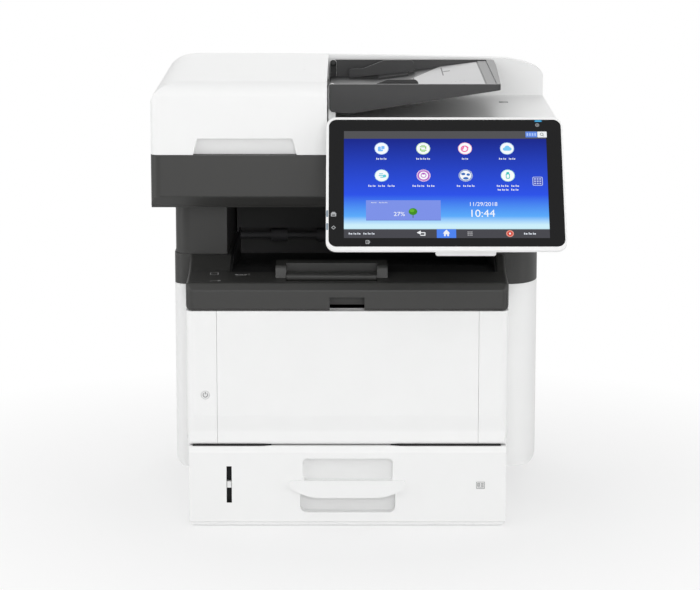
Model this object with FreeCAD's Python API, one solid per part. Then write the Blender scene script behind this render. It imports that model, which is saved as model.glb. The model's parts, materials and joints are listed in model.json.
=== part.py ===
import FreeCAD, Part
import math
import os
from FreeCAD import Vector

os.makedirs("parts", exist_ok=True)

# Desktop photocopier. Millimetres, +Z up, +X to the user's right, +Y towards the back.
# Heights are above the table. Depths are counted back from the front plane of the drawer.

# overall
depth = 392.0            # front plane of the drawer to the rear cover
panelReach = 105.0       # how far the touch panel stands out in front of the drawer
unitLeft = -193.4        # front unit: drawer, front cover and lip
unitRight = 173.4
bodyLeft = -212.5        # wider body behind the front unit
bodyRight = 214.7
scannerHalf = 233.2      # half width of the scanner and its lid
paperX = -10.0           # centre line of the paper path
stepDepth = 106.0        # where the body widens
wall = 2.5               # plastic shells
sheet = 1.2              # steel plates
gap = 0.3                # between fixed covers and moving ones
runFit = 0.05            # radial clearance of a shaft in its hole

# heights
footHeight = 3.0
drawerTop = 94.9
coverTop = 252.4
lipTop = 284.0
deckBack = 300.0         # deck height where the columns stand
scannerBottom = 365.0
scannerTop = 427.0
deckTop = 458.0          # low part of the lid, under the document tray
lidTop = 510.0

frontY = -(depth + panelReach) / 2 + panelReach


def at(d):
    """Place of a depth counted back from the front plane."""
    return frontY + d


def save(name, shape):
    shape.exportStep("parts/" + name + ".step")
    print(name, len(shape.Solids), round(shape.Volume / 1000, 1), shape.isValid())


def box(x0, x1, d0, d1, z0, z1):
    return Part.makeBox(x1 - x0, d1 - d0, z1 - z0, Vector(x0, at(d0), z0))


def place(axis, u, v, w):
    """A point from outline coordinates: axis is the direction w runs along."""
    if axis == "x":
        return Vector(w, at(u), v)
    if axis == "y":
        return Vector(u, at(w), v)
    return Vector(u, at(v), w)


def prism(points, axis, lo, hi):
    """Prism of a closed outline. A point is (u, v), (u, v, radius) or (u, v, setback in, setback out)."""
    count = len(points)
    starts = []
    ends = []
    for i in range(count):
        p = Vector(points[i][0], points[i][1], 0)
        before = Vector(points[i - 1][0], points[i - 1][1], 0) - p
        after = Vector(points[(i + 1) % count][0], points[(i + 1) % count][1], 0) - p
        backIn = 0.0
        backOut = 0.0
        if len(points[i]) == 3 and points[i][2] > 0:
            half = before.getAngle(after) / 2
            backIn = points[i][2] / math.tan(half)
            backOut = backIn
        if len(points[i]) == 4:
            backIn = points[i][2]
            backOut = points[i][3]
        starts.append(p + before.normalize() * backIn)
        ends.append(p + after.normalize() * backOut)
    edges = []
    for i in range(count):
        corner = Vector(points[i][0], points[i][1], 0)
        if (starts[i] - ends[i]).Length > 1e-6:
            if len(points[i]) == 3:
                inner = (starts[i] + ends[i]) * 0.5 - corner
                tangent = (starts[i] - corner).Length
                reach = math.hypot(tangent, points[i][2]) - points[i][2]
                middle = corner + inner.normalize() * reach
                ring = [place(axis, q.x, q.y, lo) for q in (starts[i], middle, ends[i])]
                edges.append(Part.Arc(*ring).toShape())
            else:
                pull = 0.5523
                first = starts[i] + (corner - starts[i]) * pull
                second = ends[i] + (corner - ends[i]) * pull
                curve = Part.BezierCurve()
                curve.setPoles([place(axis, q.x, q.y, lo) for q in (starts[i], first, second, ends[i])])
                edges.append(curve.toShape())
        nextStart = starts[(i + 1) % count]
        if (nextStart - ends[i]).Length > 1e-6:
            run = [place(axis, q.x, q.y, lo) for q in (ends[i], nextStart)]
            edges.append(Part.makeLine(run[0], run[1]))
    face = Part.Face(Part.Wire(edges))
    return face.extrude(place(axis, 0, 0, hi) - place(axis, 0, 0, lo))


def rod(axis, u, v, lo, hi, radius):
    """Round bar along an axis, through the outline point (u, v)."""
    base = place(axis, u, v, lo)
    return Part.makeCylinder(radius, hi - lo, base, place(axis, u, v, hi) - base)


def roundBox(axis, u0, u1, v0, v1, lo, hi, radius):
    corners = [(u0, v0, radius), (u1, v0, radius), (u1, v1, radius), (u0, v1, radius)]
    return prism(corners, axis, lo, hi)


def join(shapes):
    return shapes[0].fuse(shapes[1:]).removeSplitter() if len(shapes) > 1 else shapes[0]


def cut(shape, tools):
    return shape.cut(tools)


def involuteGear(axis, u, v, lo, hi, teeth, module):
    """Small spur gear with straight-flanked teeth."""
    pitch = teeth * module / 2
    outline = []
    for i in range(teeth):
        turn = 2 * math.pi * i / teeth
        quarter = math.pi / (2 * teeth)
        steps = [(pitch - 1.25 * module, -1.45), (pitch + module, -0.45), (pitch + module, 0.45),
                 (pitch - 1.25 * module, 1.45)]
        for radius, share in steps:
            outline.append((u + radius * math.cos(turn + share * quarter),
                            v + radius * math.sin(turn + share * quarter)))
    return prism(outline, axis, lo, hi)


# ---- lower body -------------------------------------------------------------------------

chassisLeft = unitLeft + 2.0
chassisRight = unitRight - 1.5
bayInner = 16.0          # thickness of the hollow chassis cheeks
floorTop = footHeight + 2.5
drawerFront = 18.0       # thickness of the drawer front
chassisBack = depth - 4.0


def baseFrame():
    start = drawerFront + gap
    shapes = [box(chassisLeft, chassisRight, start, chassisBack, footHeight, floorTop)]
    shapes.append(box(chassisLeft, chassisRight, chassisBack - wall, chassisBack, footHeight, drawerTop))
    for side, inner in ((chassisLeft, chassisLeft + bayInner), (chassisRight, chassisRight - bayInner)):
        for x in (side, inner):
            x0 = min(x, x + (wall if x < paperX else -wall))
            shapes.append(box(x0, x0 + wall, start, chassisBack, footHeight, drawerTop))
        lo = min(side, inner)
        shapes.append(box(lo, lo + bayInner, start, chassisBack, drawerTop - wall, drawerTop))
        shapes.append(box(lo, lo + bayInner, start, start + wall, footHeight, drawerTop))
    for x0, x1 in ((chassisLeft + wall, plateLeft + 10), (plateRight - 10, chassisRight - wall)):
        shapes.append(box(x0, x1, plateFront, plateBack, drawerTop - wall, drawerTop))
    return join(shapes)


def rubberFeet():
    feet = []
    for x in (chassisLeft + 24, chassisRight - 24):
        for d in (44, depth - 40):
            feet.append(rod("z", x, d, 0, footHeight, 9))
    return Part.makeCompound(feet)


plateLeft = paperX - 150.0    # outer faces of the steel side plates
plateRight = paperX + 150.0
plateFront = 30.0
plateBack = 384.0
plateTop = 256.0
drum = (165.0, 141.0, 15.0)           # depth, height, radius
transfer = (165.0, 117.5, 8.2)
heatRoller = (325.0, 160.0, 13.0)
pressRoller = (325.0, 133.6, 13.0)
feedRoller = (62.0, 102.0, 17.0)
exitRoller = (296.0, 291.0, 8.0)
journal = 4.0


def sidePlate(x):
    plate = box(x, x + sheet, plateFront, plateBack, drawerTop + gap, plateTop)
    flange = box(x, x + sheet + 8, plateFront, plateBack, drawerTop + gap, drawerTop + gap + sheet)
    if x > paperX:
        flange = box(x - 8, x + sheet, plateFront, plateBack, drawerTop + gap, drawerTop + gap + sheet)
    holes = []
    for spec in (drum, transfer, heatRoller, pressRoller, feedRoller):
        holes.append(rod("x", spec[0], spec[1], x - 10, x + 12, journal + runFit))
    return cut(join([plate, flange]), holes)


def roller(spec, x0, x1, sleeves):
    """Shaft across the side plates, with rubber or coated sleeves at the given spans."""
    d, z, radius = spec
    parts = [rod("x", d, z, x0, x1, journal)]
    for a, b in sleeves:
        parts.append(rod("x", d, z, a, b, radius))
    return join(parts)


def sideCover(outer, front):
    """Outer shell of one side: wide behind the step, a flat wall beside the front unit."""
    sign = -1 if outer < 0 else 1
    inner = (unitLeft if outer < 0 else unitRight) - sign * 1.0
    low = 45.0
    high = 264.0
    lo = min(outer, inner)
    hi = max(outer, inner)
    corner = 16.0 if outer < 0 else 18.0
    if outer < 0:
        plan = [(outer, stepDepth, corner), (inner, stepDepth, 0), (inner, depth - 4, 0),
                (outer, depth - 4, 10)]
        hollow = [(outer + wall, stepDepth + wall, corner - wall), (inner + 1, stepDepth + wall, 0),
                  (inner + 1, depth - 4 - wall, 0), (outer + wall, depth - 4 - wall, 7)]
    else:
        plan = [(inner, stepDepth, 0), (outer, stepDepth, 34, 50), (outer, depth - 4, 10),
                (inner, depth - 4, 0)]
        hollow = [(inner - 1, stepDepth + wall, 0), (outer - wall, stepDepth + wall, 32, 48),
                  (outer - wall, depth - 4 - wall, 7), (inner - 1, depth - 4 - wall, 0)]
    shell = prism(plan, "z", low, high)
    side = [(lo - 1, low, 0), (hi + 1, low, 0), (hi + 1, high + 1, 0), (lo - 1, high + 1, 0)]
    side[0 if outer < 0 else 1] = (outer, low, 13)
    if outer < 0:
        side[3] = (outer, high + 1, 0)
    else:
        side[2] = (outer, high + 1, 0)
    shell = shell.common(prism(side, "y", stepDepth - 1, depth))
    shell = cut(shell, [prism(hollow, "z", low + wall + 10, high - wall)])
    x0 = inner if outer < 0 else inner - wall
    shapes = [shell, box(x0, x0 + wall, front, stepDepth + wall, drawerTop + 1, coverTop - 1)]
    shapes.append(box(x0, x0 + wall, stepDepth, 345, drawerTop + 1, coverTop - 1))
    solid = join(shapes)
    if outer > 0:
        solid = cut(solid, [box(inletX - gap, inletX + 24 + gap, depth - 10, depth, inletZ - gap,
                                inletZ + 20 + gap)])
    return solid


inletX = 177.0
inletZ = 64.0


def rearCover():
    shapes = [box(bodyLeft + 8, bodyRight - 8, depth - 4 + gap, depth - 1.2, 48, scannerBottom - 1)]
    tools = [box(doorLeft - gap, doorRight + gap, depth - 10, depth + 5, doorBottom - gap, doorTopZ + gap)]
    tools.append(box(inletX - gap, inletX + 24 + gap, depth - 10, depth + 5, inletZ - gap, inletZ + 20 + gap))
    tools.append(box(128, 176, depth - 10, depth + 5, 120, 200))
    for i in range(9):
        z = 210 + i * 6
        tools.append(box(142, 170, depth - 10, depth + 5, z, z + 2.6))
    return cut(join(shapes), tools)


doorLeft = paperX - 118.0
doorRight = paperX + 118.0
doorBottom = 100.0
doorTopZ = 244.0


def rearDoor():
    plate = prism([(depth - 4, doorBottom, 0), (depth - 1.2, doorBottom, 0), (depth - 1.2, doorTopZ, 1.5),
                   (depth - 4, doorTopZ, 0)], "x", doorLeft, doorRight)
    ribs = []
    for i in range(7):
        x = doorLeft + 12 + i * (doorRight - doorLeft - 26) / 6
        ribs.append(box(x, x + 2, depth - 14, depth - 3.9, doorBottom + 12, doorTopZ - 16))
    finger = box(paperX - 22, paperX + 22, depth - 2.6, depth, doorTopZ - 14, doorTopZ - 4)
    return cut(join([plate] + ribs), [finger])


def screws():
    heads = []
    for x in (bodyLeft + 22, bodyRight - 22):
        for z in (62, scannerBottom - 14):
            head = rod("y", x, z, depth - 1.2, depth, 3.5)
            heads.append(cut(head, [box(x - 2.4, x + 2.4, depth - 0.6, depth + 1, z - 0.4, z + 0.4),
                                    box(x - 0.4, x + 0.4, depth - 0.6, depth + 1, z - 2.4, z + 2.4)]))
    return Part.makeCompound(heads)


# ---- upper black covers -----------------------------------------------------------------

colFront = 105.0
colBack = 386.0
leftColumnInner = -146.0
rightColumnInner = 164.0
bayRear = 272.0
bayFloorBack = 264.0
trayFront = 62.0         # where the deck ends and the sloping tray starts
notchLeft = -30.0
notchRight = 9.5
stopperLeft = -92.0
stopperRight = 36.0


def topCover():
    """Lip across the front, the deck behind it and the shoulders over the side covers."""
    lipBack = stepDepth - gap
    lipPlan = [(unitLeft, 0, 9), (unitRight, 0, 9), (unitRight, lipBack, 0), (unitLeft, lipBack, 0)]
    lip = prism(lipPlan, "z", coverTop + gap, lipTop + 20)
    deckSide = [(0, coverTop + gap, 3), (stepDepth + 8, coverTop + gap, 0), (stepDepth + 8, deckBack, 0),
                (stepDepth - 6, deckBack, 8), (70, 286.5, 30), (6, lipTop, 5.9), (0, lipTop - 8, 0)]
    lip = lip.common(prism(deckSide, "x", unitLeft - 1, unitRight + 1))
    ends = [(unitLeft, coverTop + gap, 6), (unitRight, coverTop + gap, 6), (unitRight, deckBack + 5, 0),
            (unitLeft, deckBack + 5, 0)]
    lip = lip.common(prism(ends, "y", -1, stepDepth + 20))
    sides = [e for e in lip.Edges if e.BoundBox.XLength < 0.01 and e.BoundBox.ZMin > 283.5
             and e.BoundBox.YMin > at(10)]
    lip = lip.makeFillet(3.5, sides)
    shoulder = prism([(bodyLeft, stepDepth - 1, 18), (bodyRight, stepDepth - 1, 34, 50),
                      (bodyRight, depth - 4, 8),
                      (bodyLeft, depth - 4, 8)], "z", 264 + gap, deckBack)
    solid = join([lip, shoulder])
    hollow = box(unitLeft + wall, unitRight - wall, wall, stepDepth + 10, coverTop - 5, 281)
    tools = [hollow.common(prism([(wall, 240, 0), (130, 240, 0), (130, 297, 0), (100, 297, 0), (70, 283, 0),
                                  (wall + 4, 281, 4), (wall, 274, 0)], "x", unitLeft, unitRight))]
    tools.append(prism([(bodyLeft + wall, stepDepth + 10, 8), (bodyRight - wall, stepDepth + 10, 34, 44),
                        (bodyRight - wall, depth - 4 - wall, 4), (bodyLeft + wall, depth - 4 - wall, 4)],
                       "z", 250, deckBack - wall))
    tools.append(box(leftColumnInner + gap, rightColumnInner - gap, trayFront, depth - 4 - wall, 240,
                     deckBack + 9))
    tools.append(box(notchLeft, notchRight, -1, 15, coverTop - 5, 268))
    tools.append(box(stopperLeft + 12, stopperRight - 12, 14, trayFront + 1, 281.2, deckBack + 2))
    scoop = box(notchLeft - 2, notchRight + 2, 15.5, 17.5, 257, 275)
    return join([cut(solid, tools), scoop])


def outputTray():
    """Sloping tray of the bay, with its side walls and the stepped wall behind."""
    left = leftColumnInner + 2 * gap
    right = rightColumnInner - 2 * gap
    slab = prism([(trayFront + gap, 285, 0), (trayFront + gap, 279, 0), (bayRear, bayFloorBack - 4, 0),
                  (bayRear + 52, bayFloorBack - 4, 0), (bayRear + 52, bayFloorBack, 0),
                  (bayRear, bayFloorBack, 30),
                  (trayFront + 44, 286, 30)], "x", left, right)
    upper = box(left, right, bayRear, bayRear + wall, 304, scannerBottom - 1)
    shapes = [slab, upper]
    shapes.append(box(left, right, bayRear, bayRear + 52, 304, 304 + wall))
    shapes.append(box(left, right, bayRear + 50, bayRear + 52, bayFloorBack - 4, 306))
    for x in (left, right - wall):
        shapes.append(prism([(trayFront + gap, 279, 0), (bayRear + 52, bayFloorBack - 4, 0),
                             (bayRear + 52, 306, 0),
                             (bayRear, 306, 0), (bayRear, deckBack - 1, 0), (stepDepth, deckBack - 1, 0),
                             (trayFront + gap, 285, 0)], "x", x, x + wall))
    return join(shapes)


def stopperSeat():
    """Raised seat at the front of the tray that the paper stopper folds into."""
    seat = prism([(15, 272, 0), (15, 279, 0), (30, 280.5, 0), (34, 299, 5), (74, 299, 12), (84, 287.5, 2),
                  (trayFront - gap, 287.5, 0), (trayFront - gap, 272, 0)], "x", stopperLeft, stopperRight)
    recess = box(stopperLeft + 12, stopperRight - 12, 13, 49, 281.2, deckBack + 2)
    return cut(seat, [recess])


def paperStopper():
    """Bar that flips forward and up to catch long sheets."""
    left = stopperLeft + 12.6
    right = stopperRight - 12.6
    bar = roundBox("x", 23, 45, 282, 290.4, left, right, 3.4)
    return bar


def column(outer, inner, corner):
    """Pillar between the body and the scanner: upright edge on the left, large round corner on the right."""
    if outer < 0:
        plan = [(outer, colFront, corner), (inner - 4, colFront, 1), (inner, colBack, 0), (outer, colBack, 6)]
        core = [(outer + wall, colFront + wall, corner - wall), (inner - 4 - wall, colFront + wall, 0),
                (inner - wall, colBack - wall, 0), (outer + wall, colBack - wall, 3)]
    else:
        plan = [(inner, colFront, 1), (outer, colFront, corner, corner + 17), (outer, colBack, 6),
                (inner, colBack, 0)]
        core = [(inner + wall, colFront + wall, 0), (outer - wall, colFront + wall, corner - 2, corner + 15),
                (outer - wall, colBack - wall, 3), (inner + wall, colBack - wall, 0)]
    body = prism(plan, "z", deckBack + 0.2, scannerBottom - 0.2)
    return cut(body, [prism(core, "z", deckBack - 1, scannerBottom - wall)])


# ---- print engine -----------------------------------------------------------------------

def tonerCartridge():
    body = prism([(66, 166, 4), (150, 166, 4), (150, 236, 6), (84, 240, 10), (66, 214, 8)], "x",
                 plateLeft + 10, plateRight - 12)
    grip = prism([(52, 196, 4), (67, 196, 0), (67, 212, 0), (52, 208, 4)], "x", paperX - 46, paperX + 46)
    boss = rod("x", 124, 200, plateLeft + sheet + gap, plateRight - gap, 8)
    return join([body, grip, boss])


def laserUnit():
    case = roundBox("x", 196, 292, 192, 240, paperX - 128, paperX + 120, 3)
    hood = prism([(180, 200, 0), (197, 196, 0), (197, 216, 0), (180, 208, 0)], "x", paperX - 108,
                 paperX + 108)
    lid = roundBox("z", paperX - 134, paperX + 126, 192, 296, 240, 242, 4)
    stay = box(plateLeft + sheet + 0.2, plateRight - 0.2, 214, 280, 189.6, 192.1)
    return join([case, hood, lid, stay])


def fuserFrame():
    """Open frame around the two fuser rollers, with end plates that carry their shafts."""
    left = plateLeft + 14
    right = plateRight - 16
    top = box(left, right, 306, 350, 178, 180)
    shapes = [top, box(left, right, 348, 350, 118, 180)]
    for x in (left, right - 2):
        end = box(x, x + 2, 306, 350, 112, 180)
        holes = [rod("x", s[0], s[1], x - 1, x + 3, journal + runFit) for s in (heatRoller, pressRoller)]
        shapes.append(cut(end, holes))
    return join(shapes)


def mainMotor():
    x = plateRight + sheet
    can = rod("x", 200, 150, x + sheet, x + 24, 24)
    board = box(x, x + sheet, 170, 236, 118, 186)
    return join([can, board])


def powerSupply():
    parts = [box(plateRight + sheet, chassisRight - 3, 262, 376, 112, 114)]
    parts.append(box(plateRight + 4, chassisRight - 6, 268, 300, 113.5, 140))
    for i in range(3):
        parts.append(rod("z", plateRight + 16, 314 + 20 * i, 113.5, 136, 7))
    return join(parts)


def controllerBoard():
    x = plateLeft - 3
    board = box(x - 1.6, x, 150, depth - 8, 110, 240)
    parts = [board]
    for d, z in ((190, 140), (230, 190), (290, 150), (320, 205)):
        parts.append(box(x - 4.6, x - 1.2, d, d + 26, z, z + 26))
    for z in (126, 150):
        parts.append(box(x - 14, x - 1.2, depth - 26, depth - 8, z, z + 14))
    for d in (188, 368):
        for z in (118, 230):
            parts.append(rod("x", d, z, x - 0.4, plateLeft, 3))
    return join(parts)


def powerInlet():
    """Recessed mains socket with three blades, behind the rear cover."""
    x = inletX
    z = inletZ
    shell = box(x, x + 24, depth - 26, depth - 1.6, z, z + 20)
    mouth = box(x + 3, x + 21, depth - 20, depth + 1, z + 3, z + 17)
    blades = [box(x + 11.2, x + 12.8, depth - 21, depth - 9, z + 10, z + 15)]
    blades.append(box(x + 6.2, x + 7.8, depth - 21, depth - 9, z + 5.5, z + 10.5))
    blades.append(box(x + 16.2, x + 17.8, depth - 21, depth - 9, z + 5.5, z + 10.5))
    return join([cut(shell, [mouth])] + blades)


fanCentre = (164.0, 226.0)     # x, height
fanBack = depth - 6.8


def fanFrame():
    x, z = fanCentre
    frame = roundBox("y", x - 19, x + 19, z - 19, z + 19, fanBack - 16, fanBack, 3)
    ring = rod("y", x, z, fanBack - 17, fanBack + 1, 17)
    bars = [box(x - 18, x + 18, fanBack - 2, fanBack, z - 1, z + 1),
            box(x - 1, x + 1, fanBack - 2, fanBack, z - 18, z + 18), rod("y", x, z, fanBack - 2, fanBack, 7)]
    spindle = rod("y", x, z, fanBack - 14, fanBack - 1, 1.5)
    return join([cut(frame, [ring]), spindle] + bars)


def fanWheel():
    x, z = fanCentre
    hub = cut(rod("y", x, z, fanBack - 14, fanBack - 2.4, 6.5), [rod("y", x, z, fanBack - 16, fanBack,
                                                                     1.5 + runFit)])
    blades = []
    for i in range(7):
        blade = box(x + 5.5, x + 15.6, fanBack - 10, fanBack - 8.4, z - 4, z + 4)
        blade.rotate(Vector(x, at(fanBack - 9.2), z), Vector(1, 0, 0), 35)
        blade.rotate(Vector(x, 0, z), Vector(0, 1, 0), 360 * i / 7)
        blades.append(blade)
    return join([hub] + blades)


# ---- front cover and bypass tray --------------------------------------------------------

doorSeamLeft = -158.4
doorSeamRight = 139.6
hinge = (7.5, 104.5)       # shared axis of the front cover and the bypass door
toeRadius = 8.2
coverBack = 24.0


def coverSide(back, top, front):
    """Side outline of a front piece: flat front, and a toe rounded about the hinge axis."""
    low = hinge[1] - toeRadius
    return [(front, top, 1.2), (front, low + 34, 20), (front + 2.6, low + 16, 14), (front + 1.2, low, 4),
            (back, low, 0), (back, top, 0)]


def frontCover():
    top = coverTop - gap
    shapes = []
    for x0, x1 in ((unitLeft, doorSeamLeft - gap), (doorSeamRight + gap, unitRight)):
        strip = prism(coverSide(coverBack - 4, top, 0.0), "x", x0, x1)
        inner = prism([(3, 112, 0), (coverBack, 112, 0), (coverBack, top - wall, 0), (3, top - wall, 0)], "x",
                      x0 + wall, x1 - wall)
        shapes.append(cut(strip, [inner]))
    ends = prism([(unitLeft, 0, 9), (unitRight, 0, 9), (unitRight, 60, 0), (unitLeft, 60, 0)], "z", 80, 260)
    plate = box(doorSeamLeft - 2, doorSeamRight + 2, coverBack - 6, coverBack - 4, hinge[1] + 7, top)
    slot = box(paperX - 112, paperX + 112, coverBack - 7, coverBack, 124, 140)
    holes = []
    for x in (unitLeft, unitRight):
        holes.append(rod("x", hinge[0], hinge[1], x - 30, x + 30, 2.5 + runFit))
    holes.append(rod("y", powerX, powerZ, -1, 6, 5.0))
    return cut(join(shapes + [cut(plate, [slot])]).common(ends), holes)


powerX = -172.0
powerZ = 154.7


def powerButton():
    cap = rod("y", powerX, powerZ, 0.25, 4, 4.7)
    stem = rod("y", powerX, powerZ, 3.5, 12, 2)
    return join([cap, stem])


def bypassDoor():
    top = coverTop - gap
    skin = prism(coverSide(10, top, 0.0), "x", doorSeamLeft, doorSeamRight)
    hollow = box(doorSeamLeft + wall, doorSeamRight - wall, 3.2, 12, 116, top - wall)
    pin = rod("x", hinge[0], hinge[1], doorSeamLeft - 1, doorSeamRight + 1, 2.5 + runFit)
    tray = box(doorSeamLeft + wall - 1, doorSeamRight - wall + 1, 8.6, 10, 116 - 1, 196)
    slot = box(paperX - 100, paperX + 100, 8, 11, 150, 153)
    return cut(join([cut(skin, [hollow]), cut(tray, [slot])]), [pin])


def bypassExtension():
    plate = roundBox("y", paperX - 60, paperX + 60, 154, 199, 6.3, 8.3, 6)
    window = roundBox("y", paperX - 20, paperX + 20, 184, 193, 4, 10, 3)
    return cut(plate, [window])


def bypassGuide(side):
    """Upright fence that slides across the bypass tray; its foot runs in the cross slot."""
    x = paperX + side * 98.0
    fence = box(x - 1.2, x + 1.2, 10.3, 16.5, 128, 190)
    foot = box(x - (0 if side > 0 else 14), x + (14 if side > 0 else 0), 10.3, 11.8, 140, 160)
    return join([fence, foot])


# ---- paper drawer -----------------------------------------------------------------------

trayLeft = paperX - 140.0
trayRight = paperX + 140.0
trayEnd = 352.0
trayFloor = 7.2
trayWallTop = 76.0
sheetWidth = 210.0
sheetLength = 297.0
sheetFront = 30.0
fenceFront = 120.0
fenceBack = 236.0
pinionDepth = 180.0
pinionTeeth = 16
pinionModule = 1.25
rackZ = (trayFloor + 2.8, trayFloor + 5.4)
plateZ = trayFloor + 7.4


def drawerBox():
    shell = box(trayLeft, trayRight, drawerFront, trayEnd, trayFloor - 1, trayWallTop)
    hollow = box(trayLeft + wall, trayRight - wall, drawerFront + 2, trayEnd - wall, trayFloor + 1.6, 100)
    post = rod("z", paperX, pinionDepth, trayFloor, rackZ[1] + 1.2, 3)
    shapes = [cut(shell, [hollow, box(paperX - 60, paperX + 60, drawerFront - 2, drawerFront + 4, 70,
                                      90)]), post]
    for x0, x1 in ((trayLeft - 7.5, trayLeft + 1), (trayRight - 1, trayRight + 7.5)):
        shapes.append(box(x0, x1, drawerFront, trayEnd, 58, 60.4))
    for x, toward in ((trayLeft + 8, 1), (trayRight - 11, -1)):
        shapes.append(box(x, x + 3, liftPivot[0] - 3, liftPivot[0] + 5, trayFloor + 1, plateZ + 6))
        ends = sorted((x + 1.5, x + 1.5 + toward * 5.5))
        shapes.append(rod("x", liftPivot[0], liftPivot[1], ends[0], ends[1], 1.5))
    return join(shapes)


def runners():
    """Ledges inside the chassis that the drawer hangs on."""
    shapes = []
    start = drawerFront + gap + wall
    for x0, x1 in ((chassisLeft + bayInner - 0.5, trayLeft - gap), (trayRight + gap,
                                                                    chassisRight - bayInner + 0.5)):
        shapes.append(box(x0, x1, start, trayEnd + 10, 54.5, 57.7))
    return shapes


gripLeft = -78.0
gripRight = 58.5


def drawerFrontPanel():
    """Front of the drawer with its moulded grip bar between an upper and a lower finger hollow."""
    side = [(0, 5.6, 1), (1.4, 4.6, 0.4), (1.4, 0.8, 1.5), (drawerFront, 0.8, 0),
            (drawerFront, drawerTop - gap, 0), (1.5, drawerTop - gap, 2), (0, drawerTop - 8, 4)]
    body = prism(side, "x", unitLeft + 2, unitRight - 1.5)
    ends = prism([(unitLeft + 2, 0, 8), (unitRight - 1.5, 0, 8), (unitRight - 1.5, 96, 3),
                  (unitLeft + 2, 96, 3)],
                 "y", -20, 30)
    body = body.common(ends)
    hollow = box(unitLeft + 6, unitRight - 6, wall + 14, drawerFront + 1, 10, 88)
    upper = roundBox("y", -61, 42, 53, 80, -2, 13.5, 5)
    lower = roundBox("y", -64, 45, 16.5, 44, -2, 13.5, 7)
    slot = box(slotX[0], slotX[1], -1, 8, 28, 71)
    body = cut(body, [upper, lower, slot, hollow.common(box(trayLeft + 4, trayRight - 4, 0, 40, 10, 60))])
    grip = prism([(gripLeft, 54.5, 4), (gripRight, 54.5, 4), (gripRight - 4, 43, 8),
                  (gripRight - 28, 34.5, 40),
                  (gripLeft + 28, 34.5, 40), (gripLeft + 4, 43, 8)], "y", -4.0, 3.5)
    web = box(-61, 42, 3, 13.8, 42, 53)
    return join([body, grip, web])


slotX = (-148.6, -142.6)


def levelIndicator():
    return join([box(slotX[0] + 0.5, slotX[1] - 0.5, 1.2, 7.0, 45.5, 53)])


liftPivot = (312.0, plateZ + 2.0)


def liftPlate():
    """Plate that raises the front of the paper stack; notched round the side and end fences."""
    plate = box(trayLeft + wall + 1, trayRight - wall - 1, 34, 306, plateZ, plateZ + 1.6)
    tools = [box(trayLeft, paperX - 70, fenceFront - 6, fenceBack + 6, 0, 90),
             box(paperX + 70, trayRight, fenceFront - 6, fenceBack + 6, 0, 90),
             box(paperX - 18, paperX + 18, 226, 320, 0, 90)]
    ears = []
    for x in (trayLeft + 11.4, trayRight - 14.4):
        ear = box(x, x + 3, 300, liftPivot[0] + 2.4, plateZ, plateZ + 4.4)
        ears.append(cut(ear, [rod("x", liftPivot[0], liftPivot[1], x - 1, x + 4, 1.5 + runFit)]))
    return join([cut(plate, tools)] + ears)


def rackFence(side):
    """Side fence with a toothed rack under the plate, driven by the pinion."""
    x = paperX + side * (sheetWidth / 2 + 2)
    fence = roundBox("x", fenceFront, fenceBack, trayFloor + 1.9, 74, min(x, x + side * 2.4),
                     max(x, x + side * 2.4), 2)
    foot = box(min(x, x + side * 16), max(x, x + side * 16), fenceFront, fenceBack, trayFloor + 1.9,
               trayFloor + 4)
    pitch = pinionTeeth * pinionModule / 2
    near = pinionDepth + side * (pitch + 1.25 * pinionModule + 0.1)
    outer = near + side * 6
    start = paperX - side * 14
    bar = box(min(start, x), max(start, x), min(near, outer), max(near, outer), rackZ[0], rackZ[1])
    step = math.pi * pinionModule
    shapes = [fence, foot, bar, box(min(x, x - side * 2), max(x, x - side * 2), min(near, outer),
                                    max(near, outer),
                                    trayFloor + 1.9, rackZ[1])]
    count = int((abs(start - x) - 4) / step)
    phase = step / 2 if pinionTeeth % 4 == 0 else 0
    first = math.ceil((min(start, x) + 3 - paperX - phase) / step)
    tip = near - side * (2.25 * pinionModule)
    for i in range(count):
        c = paperX + phase + (first + i) * step
        if c + 2 > max(start, x):
            continue
        root = near + side * 0.2
        tooth = prism([(c - 1.32, root, 0), (c + 1.32, root, 0), (c + 0.42, tip, 0), (c - 0.42, tip, 0)],
                      "z", rackZ[0], rackZ[1])
        shapes.append(tooth)
    return join(shapes)


def fencePinion():
    gear = involuteGear("z", paperX, pinionDepth, rackZ[0], rackZ[1], pinionTeeth, pinionModule)
    return cut(gear, [rod("z", paperX, pinionDepth, 0, 40, 3 + runFit)])


def endFence():
    d = sheetFront + sheetLength + 1
    post = box(paperX - 15, paperX + 15, d, d + 3, trayFloor + 1.9, 70)
    foot = box(paperX - 12, paperX + 12, d - 1, d + 18, trayFloor + 1.9, trayFloor + 4.4)
    return join([post, foot])


# ---- scanner ----------------------------------------------------------------------------

scanFront = 25.0
scanBack = 390.0
glassLeft = -150.0
glassRight = 206.0
glassFront = 92.0
glassBack = 308.0
railDepth = 200.0
carriageHome = -196.0


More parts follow.
